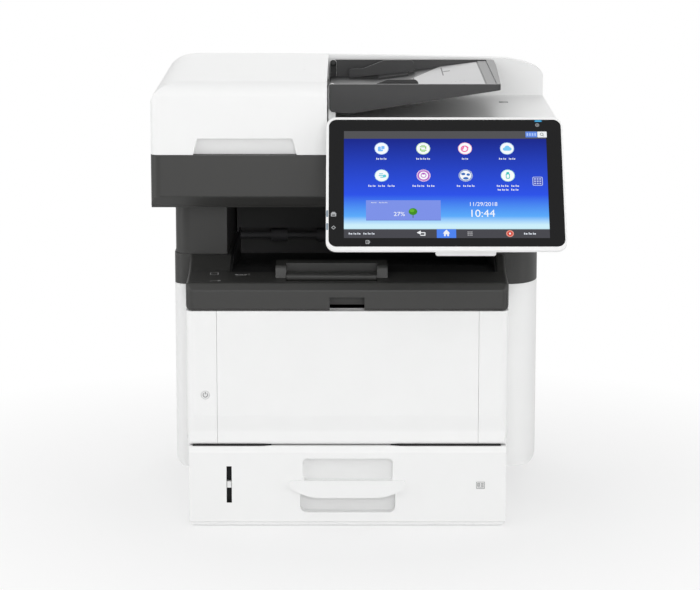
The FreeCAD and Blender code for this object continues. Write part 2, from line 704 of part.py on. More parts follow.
def scannerBase():
    """Black tub of the scanner, with a chamfer under its front."""
    side = [(scanFront + 16, scannerBottom, 0), (scanBack, scannerBottom, 3), (scanBack, scannerTop - 4, 0),
            (scanFront, scannerTop - 4, 0), (scanFront, scannerBottom + 14.5, 3)]
    tub = prism(side, "x", -scannerHalf, scannerHalf)
    plan = [(-scannerHalf, scanFront, 12), (scannerHalf, scanFront, 12), (scannerHalf, scanBack, 12),
            (-scannerHalf, scanBack, 12)]
    tub = tub.common(prism(plan, "z", 300, 500))
    inner = box(-scannerHalf + wall, scannerHalf - wall, scanFront + 13, scanBack - wall,
                scannerBottom + wall, 500)
    tub = cut(tub, [inner])
    posts = []
    for x in (-scannerHalf + wall - 0.5, scannerHalf - wall - 5.5):
        post = box(x, x + 6, railDepth - 8, railDepth + 8, scannerBottom + 1, 398)
        posts.append(cut(post, [rod("x", railDepth, 390, x - 1, x + 7, 4)]))
    for d in (scanFront + 20, scanBack - 30):
        posts.append(box(-scannerHalf + wall - 0.5, scannerHalf - wall + 0.5, d, d + 8, scannerBottom + 1,
                         372))
    return join([tub] + posts)


def scannerTopFrame():
    plan = [(-scannerHalf, scanFront, 12), (scannerHalf, scanFront, 12), (scannerHalf, scanBack, 12),
            (-scannerHalf, scanBack, 12)]
    top = prism(plan, "z", scannerTop - 4, scannerTop)
    seats = [box(glassLeft, glassRight, glassFront, glassBack, 420, 430),
             box(-196, -172, glassFront, glassBack, 420, 430)]
    skirt = box(-scannerHalf + wall + 0.2, scannerHalf - wall - 0.2, scanFront + 13, scanBack - wall - 0.2,
                scannerTop - 7, scannerTop - 3.5)
    skirt = cut(skirt, [box(-scannerHalf + 6, scannerHalf - 6, scanFront + 17, scanBack - 7, 400, 450)])
    return join([cut(top, seats), skirt])


def scanGlass():
    main = box(glassLeft + 0.1, glassRight - 0.1, glassFront + 0.1, glassBack - 0.1,
               scannerTop - 3.6, scannerTop - 0.4)
    strip = box(-195.9, -172.1, glassFront + 0.1, glassBack - 0.1, scannerTop - 3.6, scannerTop - 0.4)
    return Part.makeCompound([main, strip])


def carriageRod():
    return rod("x", railDepth, 390, -scannerHalf + wall, scannerHalf - wall, 4)


def scanCarriage():
    trough = box(carriageHome, carriageHome + 34, 82, 318, 398, 418)
    hollow = box(carriageHome + 2, carriageHome + 32, 85, 315, 401, 420)
    lens = box(carriageHome + 14, carriageHome + 20, 92, 308, 400, 416)
    nut = box(carriageHome + 4, carriageHome + 30, railDepth - 9, railDepth + 9, 382, 399)
    body = join([cut(trough, [hollow]), lens, nut])
    return cut(body, [rod("x", railDepth, 390, carriageHome - 1, carriageHome + 40, 4 + runFit)])


# ---- lid and document feeder ------------------------------------------------------------

lidFront = 25.4
lidBack = 372.0
lidLow = scannerTop + gap
feederRight = -33.3
coverFront = 46.0
lidPivot = (378.0, 434.0)
coverSeam = 478.0


def lidOutline(low):
    """Ends of the lid seen from the front: tall rounded shoulders over upright sides."""
    return [(-scannerHalf + 0.4, low, 0), (scannerHalf - 0.4, low, 0), (scannerHalf - 0.4, 503, 21, 58),
            (120, 506, 1), (-100, lidTop, 1), (-scannerHalf + 0.4, lidTop, 41, 25)]


def lidBody():
    left = -scannerHalf
    right = scannerHalf
    plan = [(left + 0.4, lidFront, 9), (right - 0.4, lidFront, 9), (right - 0.4, lidBack, 9),
            (left + 0.4, lidBack, 9)]
    deck = prism([(lidFront, lidLow, 0), (lidBack, lidLow, 0), (lidBack, deckTop, 0), (lidFront, deckTop, 9)],
                 "x", left, right)
    nose = prism([(lidFront, lidLow, 0), (coverFront - gap, lidLow, 0), (coverFront - gap, lidTop, 0),
                  (lidFront, lidTop, 17)], "x", left, feederRight + 0.3)
    ridge = prism([(350, lidLow, 0), (lidBack, lidLow, 0), (lidBack, lidTop, 14), (350, lidTop, 6)],
                  "x", feederRight, right)
    wallLeft = box(left + 0.4, feederRight, coverFront - 1, lidBack, lidLow, coverSeam - gap)
    solid = join([deck, nose, ridge, wallLeft]).common(prism(lidOutline(lidLow), "y", 0, depth))
    solid = solid.common(prism(plan, "z", 400, 520))
    tools = [box(left + wall + 0.4, feederRight - wall, coverFront + wall, lidBack - wall, 455, 520)]
    tools.append(box(left + 14, right - 14, lidFront + 12, lidBack - 12, lidLow - 1, 432))
    tools.append(prism([(-185, lidLow - 1, 0), (-67, lidLow - 1, 0), (-72, 446, 3), (-180, 446, 3)], "y",
                       0, lidFront + 9))
    tools.append(box(feederRight - wall - 1, feederRight + 1, 110, 290, 462, coverSeam + 1))
    tools.append(box(left + 16, feederRight - 8, lidFront + 3, coverFront - wall, 462, 500).common(
        prism([(lidFront + 3, 462, 0), (coverFront - wall, 462, 0), (coverFront - wall, 505, 0),
               (lidFront + 3, 488, 0)], "x", left, right)))
    body = cut(solid, tools)
    knuckles = []
    for x in (-150, 150):
        web = box(x - 15, x + 15, lidBack - 1, lidPivot[0], lidPivot[1] - 2, lidPivot[1] + 5.5)
        knuckles.append(join([web, rod("x", lidPivot[0], lidPivot[1], x - 15, x + 15, 5.5)]))
    holes = [rod("x", lidPivot[0], lidPivot[1], -180, 180, 2.5 + runFit)]
    for d in (trayPivotFront, trayPivotBack):
        knuckles.append(join([rod("y", trayPivot[0], trayPivot[1], d, d + 4, 4),
                              box(trayPivot[0] - 4, trayPivot[0] + 4, d, d + 4, deckTop - 2, trayPivot[1])]))
        holes.append(rod("y", trayPivot[0], trayPivot[1], d - 1, d + 5, 2 + runFit))
    axle = rod("y", adfRoller[0], adfRoller[1], 40, lidBack, 4 + runFit)
    bearings = []
    for d in (96, 300):
        bearings.append(box(adfRoller[0] - 8, adfRoller[0] + 8, d, d + 4, 454, adfRoller[1] + 3))
    return cut(join([body] + knuckles + bearings), holes + [axle.common(box(-120, -40, 90, 310, 440, 500))])


adfRoller = (-84.0, 479.0, 15.0)
trayPivot = (-27.5, 500.0)
trayPivotFront = 66.4
trayPivotBack = 333.6


def adfRollerShaft():
    x, z, radius = adfRoller
    parts = [rod("y", x, z, 90, 310, 4)]
    for a, b in ((150, 176), (214, 240)):
        parts.append(rod("y", x, z, a, b, radius))
    parts.append(rod("y", x, z, 305, 309, 8))
    return join(parts)


def adfCover():
    left = -scannerHalf + 0.4
    side = [(coverFront, coverSeam, 0), (lidBack, coverSeam, 0), (lidBack, lidTop, 16),
            (coverFront, lidTop, 0)]
    solid = prism(side, "x", left, feederRight).common(prism(lidOutline(lidLow), "y", 0, depth))
    solid = solid.common(prism([(left, 0, 0), (feederRight, 0, 0), (feederRight, lidBack, 0),
                                (left, lidBack, 9)],
                               "z", 400, 520))
    inner = [(left + wall, coverSeam - 1, 0), (feederRight - wall, coverSeam - 1, 0),
             (feederRight - wall, lidTop - wall, 0), (left + wall, lidTop - wall, 39, 23)]
    hollow = prism(inner, "y", coverFront + wall, lidBack - wall - 6)
    mouth = box(feederRight - wall - 1, feederRight + 1, 76, 326, coverSeam - 1, 503)
    mark = roundBox("z", -63, -58, 120, 168, lidTop - 0.8, lidTop + 1, 2.4)
    return cut(solid, [hollow, mouth, mark])


def platenPad():
    return box(-scannerHalf + 16, scannerHalf - 16, lidFront + 14, lidBack - 14, lidLow + 0.2, 432)


def lidHinges():
    shapes = []
    for x in (-150, 150):
        base = box(x - 22, x + 22, lidBack + 1, 388, scannerTop, scannerTop + 1.4)
        shapes.append(base)
        for side in (-1, 1):
            a = x + side * 15.4
            b = x + side * 19.4
            cheek = join([rod("x", lidPivot[0], lidPivot[1], min(a, b), max(a, b), 5.5),
                          box(min(a, b), max(a, b), lidPivot[0] - 4, 388, scannerTop, lidPivot[1])])
            shapes.append(cheek)
        shapes.append(rod("x", lidPivot[0], lidPivot[1], x - 21, x + 21, 2.5))
    groups = []
    for x in (-150, 150):
        groups.append(join([s for s in shapes if abs(s.BoundBox.Center.x - x) < 40]))
    return Part.makeCompound(groups)


docLeft = -30.6
docRight = 172.0
docFront = 62.0
docBack = 342.0


def documentTray():
    """Shallow tray that climbs to the right, with a raised wall along its front and back."""
    outline = [(docLeft, 472, 5), (-6, 470, 8), (docRight - 2, 497.5, 2), (docRight, 503.5, 2),
               (docLeft, 503.5, 2)]
    body = prism(outline, "y", docFront, docBack)
    body = body.common(prism([(docLeft, docFront, 1), (docRight - 7, docFront, 3), (docRight, docBack, 8),
                              (docLeft, docBack, 1)], "z", 460, 520))
    well = prism([(docLeft - 5, 483, 0), (20, 484, 20), (150, 501.2, 0), (150, 520, 0),
                  (docLeft - 5, 520, 0)], "y",
                 docFront + 4, docBack - 4)
    slopeCut = prism([(110, 502, 0), (docRight - 11, 502.2, 0), (docRight - 11, 520, 0), (110, 520, 0)], "y",
                     docFront + 4, docBack - 4)
    shapes = [cut(body, [well, slopeCut])]
    for d in (trayPivotFront, trayPivotBack):
        shapes[0] = cut(shapes[0], [box(docLeft - 1, trayPivot[0] + 5, d - gap, d + 4 + gap, 460, 520)])
    for d0, d1 in ((docFront + 1, trayPivotFront + 4.2), (trayPivotBack - 0.2, docBack - 1)):
        shapes.append(rod("y", trayPivot[0], trayPivot[1], d0, d1, 2))
    return join(shapes)


guideMid = (docFront + docBack) / 2
guideHalf = 109.0


def documentGuide(side):
    """Fence of the document tray that slides across it."""
    d = guideMid + side * guideHalf
    lo = min(d, d + side * 2.4)
    hi = max(d, d + side * 2.4)
    blade = prism([(-8, 484.6, 2), (72, 491.6, 2), (72, 506, 6), (36, 506, 14), (8, 495, 14), (-8, 495, 3)],
                  "y", lo, hi)
    foot = prism([(28, 485.4, 0), (64, 490.2, 0), (64, 492, 0), (28, 487.4, 0)], "y", min(d, d - side * 30),
                 max(d, d - side * 30))
    return join([blade, foot])


# ---- touch panel ------------------------------------------------------------------------

tilt = 38.9              # lean of the panel from upright, degrees
panelLeft = -33.4
panelRight = 231.0
panelHeight = 171.0
panelRim = 3.6
panelDeep = 12.5
footPoint = (-panelReach, 339.8)     # lower front edge: depth, height
pivotAlong = 80.0        # hinge axis, measured up the panel and behind its face
pivotBehind = 19.0
armLeft = 92.0
armRight = 149.0


def tilted(along, behind):
    """Depth and height of a point measured up the panel and behind its face."""
    lean = math.radians(tilt)
    return (footPoint[0] + along * math.sin(lean) + behind * math.cos(lean),
            footPoint[1] + along * math.cos(lean) - behind * math.sin(lean))


def tip(shape):
    """Lean a shape that was drawn upright, with its face at depth 0 and its foot at height 0."""
    moved = shape.copy()
    moved.translate(Vector(0, -frontY, 0))
    moved.rotate(Vector(0, 0, 0), Vector(1, 0, 0), -tilt)
    moved.translate(Vector(0, at(footPoint[0]), footPoint[1]))
    return moved


def glassOutline(inside):
    """Outline of the glass pocket in the panel's face, taken in by a clearance."""
    left = panelLeft + 2.9 + inside
    right = panelRight - 2.1 - inside
    low = 4.9 + inside
    high = panelHeight - 2.9 - inside
    return [(left, low, 9), (right, low, 9), (right, high, 9), (left, high, 9)]


def panelHousing():
    outline = [(panelLeft, 0, 12), (panelRight, 0, 12), (panelRight, panelHeight, 12),
               (panelLeft, panelHeight, 12)]
    frame = prism(outline, "y", 0, panelRim)
    inset = 7.0
    back = [(panelLeft + inset, inset, 9), (panelRight - inset, inset, 9),
            (panelRight - inset, panelHeight - inset, 9), (panelLeft + inset, panelHeight - inset, 9)]
    body = join([frame, prism(back, "y", panelRim - 0.5, panelDeep)])
    bulge = prism([(armLeft - 5, 5.5, 3), (armRight + 5, 5.5, 3), (armRight + 5, 124, 6),
                   (armLeft - 5, 124, 6)],
                  "y", panelDeep - 0.5, 22.0)
    ears = []
    for x0, x1 in ((armLeft - 4, armLeft + 4), (armRight - 4, armRight + 4)):
        ears.append(rod("x", pivotBehind, pivotAlong, x0, x1, 9.5))
    solid = join([body, bulge] + ears)
    pocket = prism(glassOutline(0), "y", -1, 2.2)
    inner = box(panelLeft + 12, panelRight - 12, 1, 9.6, 12, panelHeight - 12)
    slot = box(armLeft + 4.4, armRight - 4.4, 10.8, 40, pivotAlong - 14, 126)
    bore = rod("x", pivotBehind, pivotAlong, armLeft - 10, armRight + 10, 3 + runFit)
    return tip(cut(solid, [pocket, inner, slot, bore]))


def panelGlass():
    return tip(prism(glassOutline(0.2), "y", 0.2, 2.2))


lcdLeft = -14.6
lcdRight = 211.2
lcdLow = 17.0
lcdHigh = 152.0


def displayModule():
    return tip(box(lcdLeft, lcdRight, 2.3, 6.3, lcdLow, lcdHigh))


def panelArm():
    """Arm from the scanner front to the knuckle between the panel's ears."""
    d, z = tilted(pivotAlong, pivotBehind)
    knuckle = rod("x", d, z, armLeft + 5, armRight - 5, 8)
    neck = prism([(d, z - 7.5, 0), (scanFront, z - 12, 4), (scanFront, z + 12, 4), (d, z + 6, 0)], "x",
                 armLeft + 5, armRight - 5)
    flange = roundBox("y", armLeft - 2, armRight + 2, z - 17, z + 17, scanFront - 4, scanFront, 5)
    bore = rod("x", d, z, armLeft, armRight, 3)
    return cut(join([knuckle, neck, flange]), [bore])


def hingePins():
    d, z = tilted(pivotAlong, pivotBehind)
    pins = [rod("x", d, z, armLeft - 3, armRight + 3, 3)]
    pins.append(rod("x", hinge[0], hinge[1], unitLeft + 2.5, unitLeft + 9, 2.5))
    return Part.makeCompound(pins)


# ---- write every piece ------------------------------------------------------------------

frame = join([baseFrame()] + runners())
save("base_frame", frame)
save("rubber_feet", rubberFeet())
save("left_side_plate", sidePlate(plateLeft))
save("right_side_plate", sidePlate(plateRight))
save("left_side_cover", sideCover(bodyLeft, coverBack + 1))
save("right_side_cover", sideCover(bodyRight, coverBack + 1))
save("rear_cover", rearCover())
save("rear_door", rearDoor())
save("top_cover", join([topCover(), stopperSeat()]))
save("output_tray", outputTray())
save("paper_stopper", paperStopper())
save("left_column", column(bodyLeft + 1.5, leftColumnInner, 18))
save("right_column", column(bodyRight - 0.2, rightColumnInner, 33))
save("toner_cartridge", tonerCartridge())
save("laser_unit", laserUnit())
save("fuser_frame", fuserFrame())
save("main_motor", mainMotor())
save("power_supply", powerSupply())
save("controller_board", controllerBoard())
save("power_inlet", powerInlet())
save("fan_frame", fanFrame())
save("fan_wheel", fanWheel())
ends = (plateLeft - 0.5, plateRight + sheet + 0.5)
save("drum", roller(drum, ends[0], ends[1], [(paperX - 118, paperX + 118)]))
save("transfer_roller", roller(transfer, ends[0], ends[1], [(paperX - 112, paperX + 112)]))
save("heat_roller", roller(heatRoller, ends[0], ends[1], [(paperX - 114, paperX + 114)]))
save("pressure_roller", roller(pressRoller, ends[0], ends[1], [(paperX - 114, paperX + 114)]))
save("feed_roller", roller(feedRoller, ends[0], ends[1], [(paperX - 26, paperX - 4),
                                                          (paperX + 4, paperX + 26)]))
tyres = [(paperX - 84 + 56 * i - 10, paperX - 84 + 56 * i + 10) for i in range(4)]
save("exit_roller", roller(exitRoller, leftColumnInner + 4, rightColumnInner - 4, tyres))
save("front_cover", frontCover())
save("power_button", powerButton())
save("bypass_door", bypassDoor())
save("bypass_extension", bypassExtension())
save("bypass_guide_left", bypassGuide(-1))
save("bypass_guide_right", bypassGuide(1))
save("drawer_box", drawerBox())
save("drawer_front", drawerFrontPanel())
save("level_indicator", levelIndicator())
save("lift_plate", liftPlate())
save("side_fence_left", rackFence(-1))
save("side_fence_right", rackFence(1))
save("fence_pinion", fencePinion())
save("end_fence", endFence())
save("scanner_base", scannerBase())
save("scanner_top_frame", scannerTopFrame())
save("platen_glass", scanGlass())
save("carriage_rod", carriageRod())
save("scan_carriage", scanCarriage())
save("lid_hinges", lidHinges())
save("lid_body", lidBody())
save("platen_pad", platenPad())
save("adf_cover", adfCover())
save("adf_roller", adfRollerShaft())
save("document_tray", documentTray())
save("document_guide_front", documentGuide(-1))
save("document_guide_back", documentGuide(1))
save("panel_arm", panelArm())
save("panel_housing", panelHousing())
save("panel_glass", panelGlass())
save("display", displayModule())
save("pins_and_screws", Part.makeCompound(hingePins().Solids + screws().Solids))
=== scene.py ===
import bpy
import bmesh
import json
import math
import random
from mathutils import Matrix, Vector


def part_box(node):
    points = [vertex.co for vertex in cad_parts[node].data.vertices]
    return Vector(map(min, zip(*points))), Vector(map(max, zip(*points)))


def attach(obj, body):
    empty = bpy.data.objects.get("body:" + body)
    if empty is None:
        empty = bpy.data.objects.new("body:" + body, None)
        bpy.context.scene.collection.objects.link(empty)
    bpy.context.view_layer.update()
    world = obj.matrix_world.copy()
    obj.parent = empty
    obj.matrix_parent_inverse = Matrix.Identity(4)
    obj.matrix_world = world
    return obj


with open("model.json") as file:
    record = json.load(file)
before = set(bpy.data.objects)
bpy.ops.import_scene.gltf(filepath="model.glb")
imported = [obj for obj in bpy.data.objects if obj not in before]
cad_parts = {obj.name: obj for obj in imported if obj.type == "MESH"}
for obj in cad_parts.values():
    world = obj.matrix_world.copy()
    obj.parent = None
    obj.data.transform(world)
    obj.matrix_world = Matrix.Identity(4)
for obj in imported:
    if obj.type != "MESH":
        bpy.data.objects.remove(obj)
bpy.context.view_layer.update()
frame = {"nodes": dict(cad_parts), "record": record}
nodes = frame["nodes"]

print("stage: camera, floor and light")

view = {"lens": 144.0, "pitch": 10.6, "place": (-0.0069, -3.2625, 0.8545), "slide": (0.0, 0.0),
        "sensor": 36.0}


def makeCamera():
    data = bpy.data.cameras.new("camera")
    data.lens = view["lens"]
    data.sensor_width = view["sensor"]
    data.shift_x, data.shift_y = view["slide"]
    camera = bpy.data.objects.new("camera", data)
    camera.location = view["place"]
    camera.rotation_euler = (math.radians(90 - view["pitch"]), 0, 0)
    bpy.context.scene.collection.objects.link(camera)
    bpy.context.scene.camera = camera


studio = {"floorSize": 14.0, "world": 0.56, "lamps": [
    # place, width, height, watts, aim
    ((-1.9, -2.0, 2.3), 1.8, 1.8, 15.5, (0.0, 0.0, 0.25)),
    ((2.0, -1.7, 1.9), 1.6, 1.6, 9.0, (0.0, 0.0, 0.25)),
    ((0.3, -3.1, 1.02), 1.1, 0.9, 20.0, (0.0, 0.0, 0.38)),
    ((-2.4, -0.6, 0.6), 0.45, 1.7, 9.0, (0.0, 0.0, 0.3)),
    ((2.4, -0.8, 0.6), 0.45, 1.7, 6.0, (0.0, 0.0, 0.3)),
    ((0.1, 0.6, 2.6), 1.9, 1.9, 4.0, (0.0, 0.05, 0.4)),
    ((0.0, 2.2, 1.6), 1.8, 1.8, 12.0, (0.0, 0.1, 0.3)),
]}


def makeStudio():
    mesh = bpy.data.meshes.new("floor")
    bm = bmesh.new()
    bmesh.ops.create_grid(bm, x_segments=1, y_segments=1, size=studio["floorSize"] / 2)
    bm.to_mesh(mesh)
    bm.free()
    floor = bpy.data.objects.new("floor", mesh)
    bpy.context.scene.collection.objects.link(floor)
    mat = bpy.data.materials.new("floorPaper")
    mat.use_nodes = True
    tree = mat.node_tree
    tree.nodes.clear()
    out = tree.nodes.new("ShaderNodeOutputMaterial")
    shader = tree.nodes.new("ShaderNodeBsdfPrincipled")
    shader.inputs["Base Color"].default_value = (0.86, 0.86, 0.86, 1)
    shader.inputs["Roughness"].default_value = 0.9
    shader.inputs["Specular IOR Level"].default_value = 0.1
    glow = tree.nodes.new("ShaderNodeEmission")      # fades the floor into the white backdrop
    path = tree.nodes.new("ShaderNodeLightPath")
    coords = tree.nodes.new("ShaderNodeTexCoord")
    away = tree.nodes.new("ShaderNodeVectorMath")
    away.operation = "LENGTH"
    ramp = tree.nodes.new("ShaderNodeMapRange")
    ramp.inputs["From Min"].default_value = 0.28
    ramp.inputs["From Max"].default_value = 0.75
    ramp.inputs["To Min"].default_value = 0.55
    ramp.inputs["To Max"].default_value = 1.0
    seen = tree.nodes.new("ShaderNodeMath")
    seen.operation = "MULTIPLY"
    mix = tree.nodes.new("ShaderNodeMixShader")
    tree.links.new(coords.outputs["Object"], away.inputs[0])
    tree.links.new(away.outputs["Value"], ramp.inputs["Value"])
    tree.links.new(ramp.outputs["Result"], seen.inputs[0])
    tree.links.new(path.outputs["Is Camera Ray"], seen.inputs[1])
    tree.links.new(seen.outputs["Value"], mix.inputs["Fac"])
    tree.links.new(shader.outputs["BSDF"], mix.inputs[1])
    tree.links.new(glow.outputs["Emission"], mix.inputs[2])
    tree.links.new(mix.outputs["Shader"], out.inputs["Surface"])
    mesh.materials.append(mat)
    for i, (place, wide, high, watts, aim) in enumerate(studio["lamps"]):
        data = bpy.data.lights.new("lamp%d" % i, "AREA")
        data.shape = "RECTANGLE"
        data.size = wide
        data.size_y = high
        data.energy = watts
        lamp = bpy.data.objects.new("lamp%d" % i, data)
        lamp.location = place
        lamp.rotation_euler = (Vector(aim) - Vector(place)).to_track_quat("-Z", "Y").to_euler()
        bpy.context.scene.collection.objects.link(lamp)
    world = bpy.data.worlds.new("world")
    bpy.context.scene.world = world
    world.use_nodes = True
    tree = world.node_tree
    tree.nodes.clear()
    out = tree.nodes.new("ShaderNodeOutputWorld")
    plain = tree.nodes.new("ShaderNodeBackground")
    white = tree.nodes.new("ShaderNodeBackground")
    plain.inputs["Color"].default_value = (1, 1, 1, 1)
    plain.inputs["Strength"].default_value = studio["world"]
    white.inputs["Strength"].default_value = 1.0
    white.inputs["Color"].default_value = (1, 1, 1, 1)
    path = tree.nodes.new("ShaderNodeLightPath")
    seen = tree.nodes.new("ShaderNodeMath")
    seen.operation = "MAXIMUM"
    mix = tree.nodes.new("ShaderNodeMixShader")
    tree.links.new(path.outputs["Is Camera Ray"], seen.inputs[0])
    tree.links.new(path.outputs["Is Transmission Ray"], seen.inputs[1])
    tree.links.new(seen.outputs["Value"], mix.inputs["Fac"])
    tree.links.new(plain.outputs["Background"], mix.inputs[1])
    tree.links.new(white.outputs["Background"], mix.inputs[2])
    tree.links.new(mix.outputs["Shader"], out.inputs["Surface"])
    bpy.context.scene.view_settings.view_transform = "Standard"


makeCamera()
makeStudio()

print("stage: shared effects")


def newGroup(name, ins, outs):
    group = bpy.data.node_groups.new(name, "ShaderNodeTree")
    for label, kind, value in ins:
        made = group.interface.new_socket(name=label, in_out="INPUT", socket_type=kind)
        made.default_value = value
    for label, kind in outs:
        group.interface.new_socket(name=label, in_out="OUTPUT", socket_type=kind)
    entry = group.nodes.new("NodeGroupInput")
    leave = group.nodes.new("NodeGroupOutput")
    return group, entry, leave


def grainGroup():
    # fine moulded texture: a height and a slightly mottled colour
    group, entry, leave = newGroup(
        "mouldGrain",
        [("Colour", "NodeSocketColor", (0.8, 0.8, 0.8, 1)), ("Scale", "NodeSocketFloat", 900.0),
         ("Mottle", "NodeSocketFloat", 0.04), ("Rough", "NodeSocketFloat", 0.45)],
        [("Colour", "NodeSocketColor"), ("Roughness", "NodeSocketFloat"), ("Height", "NodeSocketFloat")])
    add = group.nodes.new
    link = group.links.new
    coords = add("ShaderNodeTexCoord")
    fine = add("ShaderNodeTexNoise")
    fine.inputs["Detail"].default_value = 2.0
    broad = add("ShaderNodeTexNoise")
    broad.inputs["Scale"].default_value = 22.0
    broad.inputs["Detail"].default_value = 3.0
    link(coords.outputs["Object"], fine.inputs["Vector"])
    link(coords.outputs["Object"], broad.inputs["Vector"])
    link(entry.outputs["Scale"], fine.inputs["Scale"])
    spread = add("ShaderNodeMath")
    spread.operation = "MULTIPLY_ADD"
    link(broad.outputs["Fac"], spread.inputs[0])
    link(entry.outputs["Mottle"], spread.inputs[1])
    level = add("ShaderNodeMath")
    level.operation = "MULTIPLY_ADD"
    level.inputs[1].default_value = -0.5
    level.inputs[2].default_value = 1.0
    link(entry.outputs["Mottle"], level.inputs[0])
    link(level.outputs["Value"], spread.inputs[2])
    tint = add("ShaderNodeVectorMath")
    tint.operation = "SCALE"
    link(entry.outputs["Colour"], tint.inputs[0])
    link(spread.outputs["Value"], tint.inputs["Scale"])
    link(tint.outputs["Vector"], leave.inputs["Colour"])
    rough = add("ShaderNodeMath")
    rough.operation = "MULTIPLY_ADD"
    rough.inputs[1].default_value = 0.12
    link(fine.outputs["Fac"], rough.inputs[0])
    link(entry.outputs["Rough"], rough.inputs[2])
    link(rough.outputs["Value"], leave.inputs["Roughness"])
    link(fine.outputs["Fac"], leave.inputs["Height"])
    return group


def brushGroup():
    # drawn lines of rolled or turned metal along one axis
    group, entry, leave = newGroup(
        "brushLines",
        [("Colour", "NodeSocketColor", (0.6, 0.6, 0.6, 1)), ("Stretch", "NodeSocketVector", (1, 30, 30)),
         ("Rough", "NodeSocketFloat", 0.3)],
        [("Colour", "NodeSocketColor"), ("Roughness", "NodeSocketFloat"), ("Height", "NodeSocketFloat")])
    add = group.nodes.new
    link = group.links.new
    coords = add("ShaderNodeTexCoord")
    scaled = add("ShaderNodeVectorMath")
    scaled.operation = "MULTIPLY"
    noise = add("ShaderNodeTexNoise")
    noise.inputs["Scale"].default_value = 40.0
    noise.inputs["Detail"].default_value = 4.0
    link(coords.outputs["Object"], scaled.inputs[0])
    link(entry.outputs["Stretch"], scaled.inputs[1])
    link(scaled.outputs["Vector"], noise.inputs["Vector"])
    shade = add("ShaderNodeMapRange")
    shade.inputs["To Min"].default_value = 0.82
    shade.inputs["To Max"].default_value = 1.12
    link(noise.outputs["Fac"], shade.inputs["Value"])
    tint = add("ShaderNodeVectorMath")
    tint.operation = "SCALE"
    link(entry.outputs["Colour"], tint.inputs[0])
    link(shade.outputs["Result"], tint.inputs["Scale"])
    link(tint.outputs["Vector"], leave.inputs["Colour"])
    rough = add("ShaderNodeMath")
    rough.operation = "MULTIPLY_ADD"
    rough.inputs[1].default_value = 0.2
    link(noise.outputs["Fac"], rough.inputs[0])
    link(entry.outputs["Rough"], rough.inputs[2])
    link(rough.outputs["Value"], leave.inputs["Roughness"])
    link(noise.outputs["Fac"], leave.inputs["Height"])
    return group


mouldGrain = grainGroup()
brushLines = brushGroup()


def plastic(name, colour, rough=0.42, scale=900.0, mottle=0.03, bump=0.06, coat=0.0):
    mat = bpy.data.materials.new(name)
    mat.use_nodes = True
    tree = mat.node_tree
    shader = tree.nodes["Principled BSDF"]
    grain = tree.nodes.new("ShaderNodeGroup")
    grain.node_tree = mouldGrain
    grain.inputs["Colour"].default_value = (*colour, 1)
    grain.inputs["Scale"].default_value = scale
    grain.inputs["Mottle"].default_value = mottle
    grain.inputs["Rough"].default_value = rough
    tree.links.new(grain.outputs["Colour"], shader.inputs["Base Color"])
    tree.links.new(grain.outputs["Roughness"], shader.inputs["Roughness"])
    relief = tree.nodes.new("ShaderNodeBump")
    relief.inputs["Strength"].default_value = bump
    relief.inputs["Distance"].default_value = 0.0004
    tree.links.new(grain.outputs["Height"], relief.inputs["Height"])
    tree.links.new(relief.outputs["Normal"], shader.inputs["Normal"])
    shader.inputs["Coat Weight"].default_value = coat
    shader.inputs["Coat Roughness"].default_value = 0.08
    return mat


def metal(name, colour, stretch, rough=0.28):
    mat = bpy.data.materials.new(name)
    mat.use_nodes = True
    tree = mat.node_tree
    shader = tree.nodes["Principled BSDF"]
    brush = tree.nodes.new("ShaderNodeGroup")
    brush.node_tree = brushLines
    brush.inputs["Colour"].default_value = (*colour, 1)
    brush.inputs["Stretch"].default_value = stretch
    brush.inputs["Rough"].default_value = rough
    tree.links.new(brush.outputs["Colour"], shader.inputs["Base Color"])
    tree.links.new(brush.outputs["Roughness"], shader.inputs["Roughness"])
    relief = tree.nodes.new("ShaderNodeBump")
    relief.inputs["Strength"].default_value = 0.05
    relief.inputs["Distance"].default_value = 0.0003
    tree.links.new(brush.outputs["Height"], relief.inputs["Height"])
    tree.links.new(relief.outputs["Normal"], shader.inputs["Normal"])
    shader.inputs["Metallic"].default_value = 1.0
    return mat


whitePlastic = plastic("whitePlastic", (0.875, 0.878, 0.875), 0.42)
blackPlastic = plastic("blackPlastic", (0.033, 0.033, 0.0315), 0.38, 1100.0, 0.08, 0.12)
darkPlastic = plastic("darkPlastic", (0.011, 0.011, 0.0115), 0.45, 900.0, 0.08, 0.08)
trayPlastic = plastic("trayPlastic", (0.026, 0.026, 0.027), 0.30, 1000.0, 0.06, 0.1)
naturalPlastic = plastic("naturalPlastic", (0.62, 0.63, 0.64), 0.40)
greenPlastic = plastic("greenPlastic", (0.05, 0.30, 0.17), 0.38)
footRubber = plastic("footRubber", (0.02, 0.02, 0.02), 0.7, 500.0, 0.1, 0.2)
rollerRubber = plastic("rollerRubber", (0.07, 0.07, 0.075), 0.6, 1500.0, 0.12, 0.3)
drumCoat = plastic("drumCoat", (0.01, 0.10, 0.14), 0.12, 300.0, 0.05, 0.0, 0.6)
boardGreen = plastic("boardGreen", (0.015, 0.12, 0.05), 0.35, 400.0, 0.25, 0.2)
foamSheet = plastic("foamSheet", (0.88, 0.88, 0.86), 0.65, 300.0, 0.03, 0.2)
buttonPlastic = plastic("buttonPlastic", (0.78, 0.78, 0.78), 0.3)
plateSteel = metal("plateSteel", (0.62, 0.63, 0.64), (30, 1, 30))
rodSteel = metal("rodSteel", (0.66, 0.66, 0.67), (60, 1, 1), 0.18)


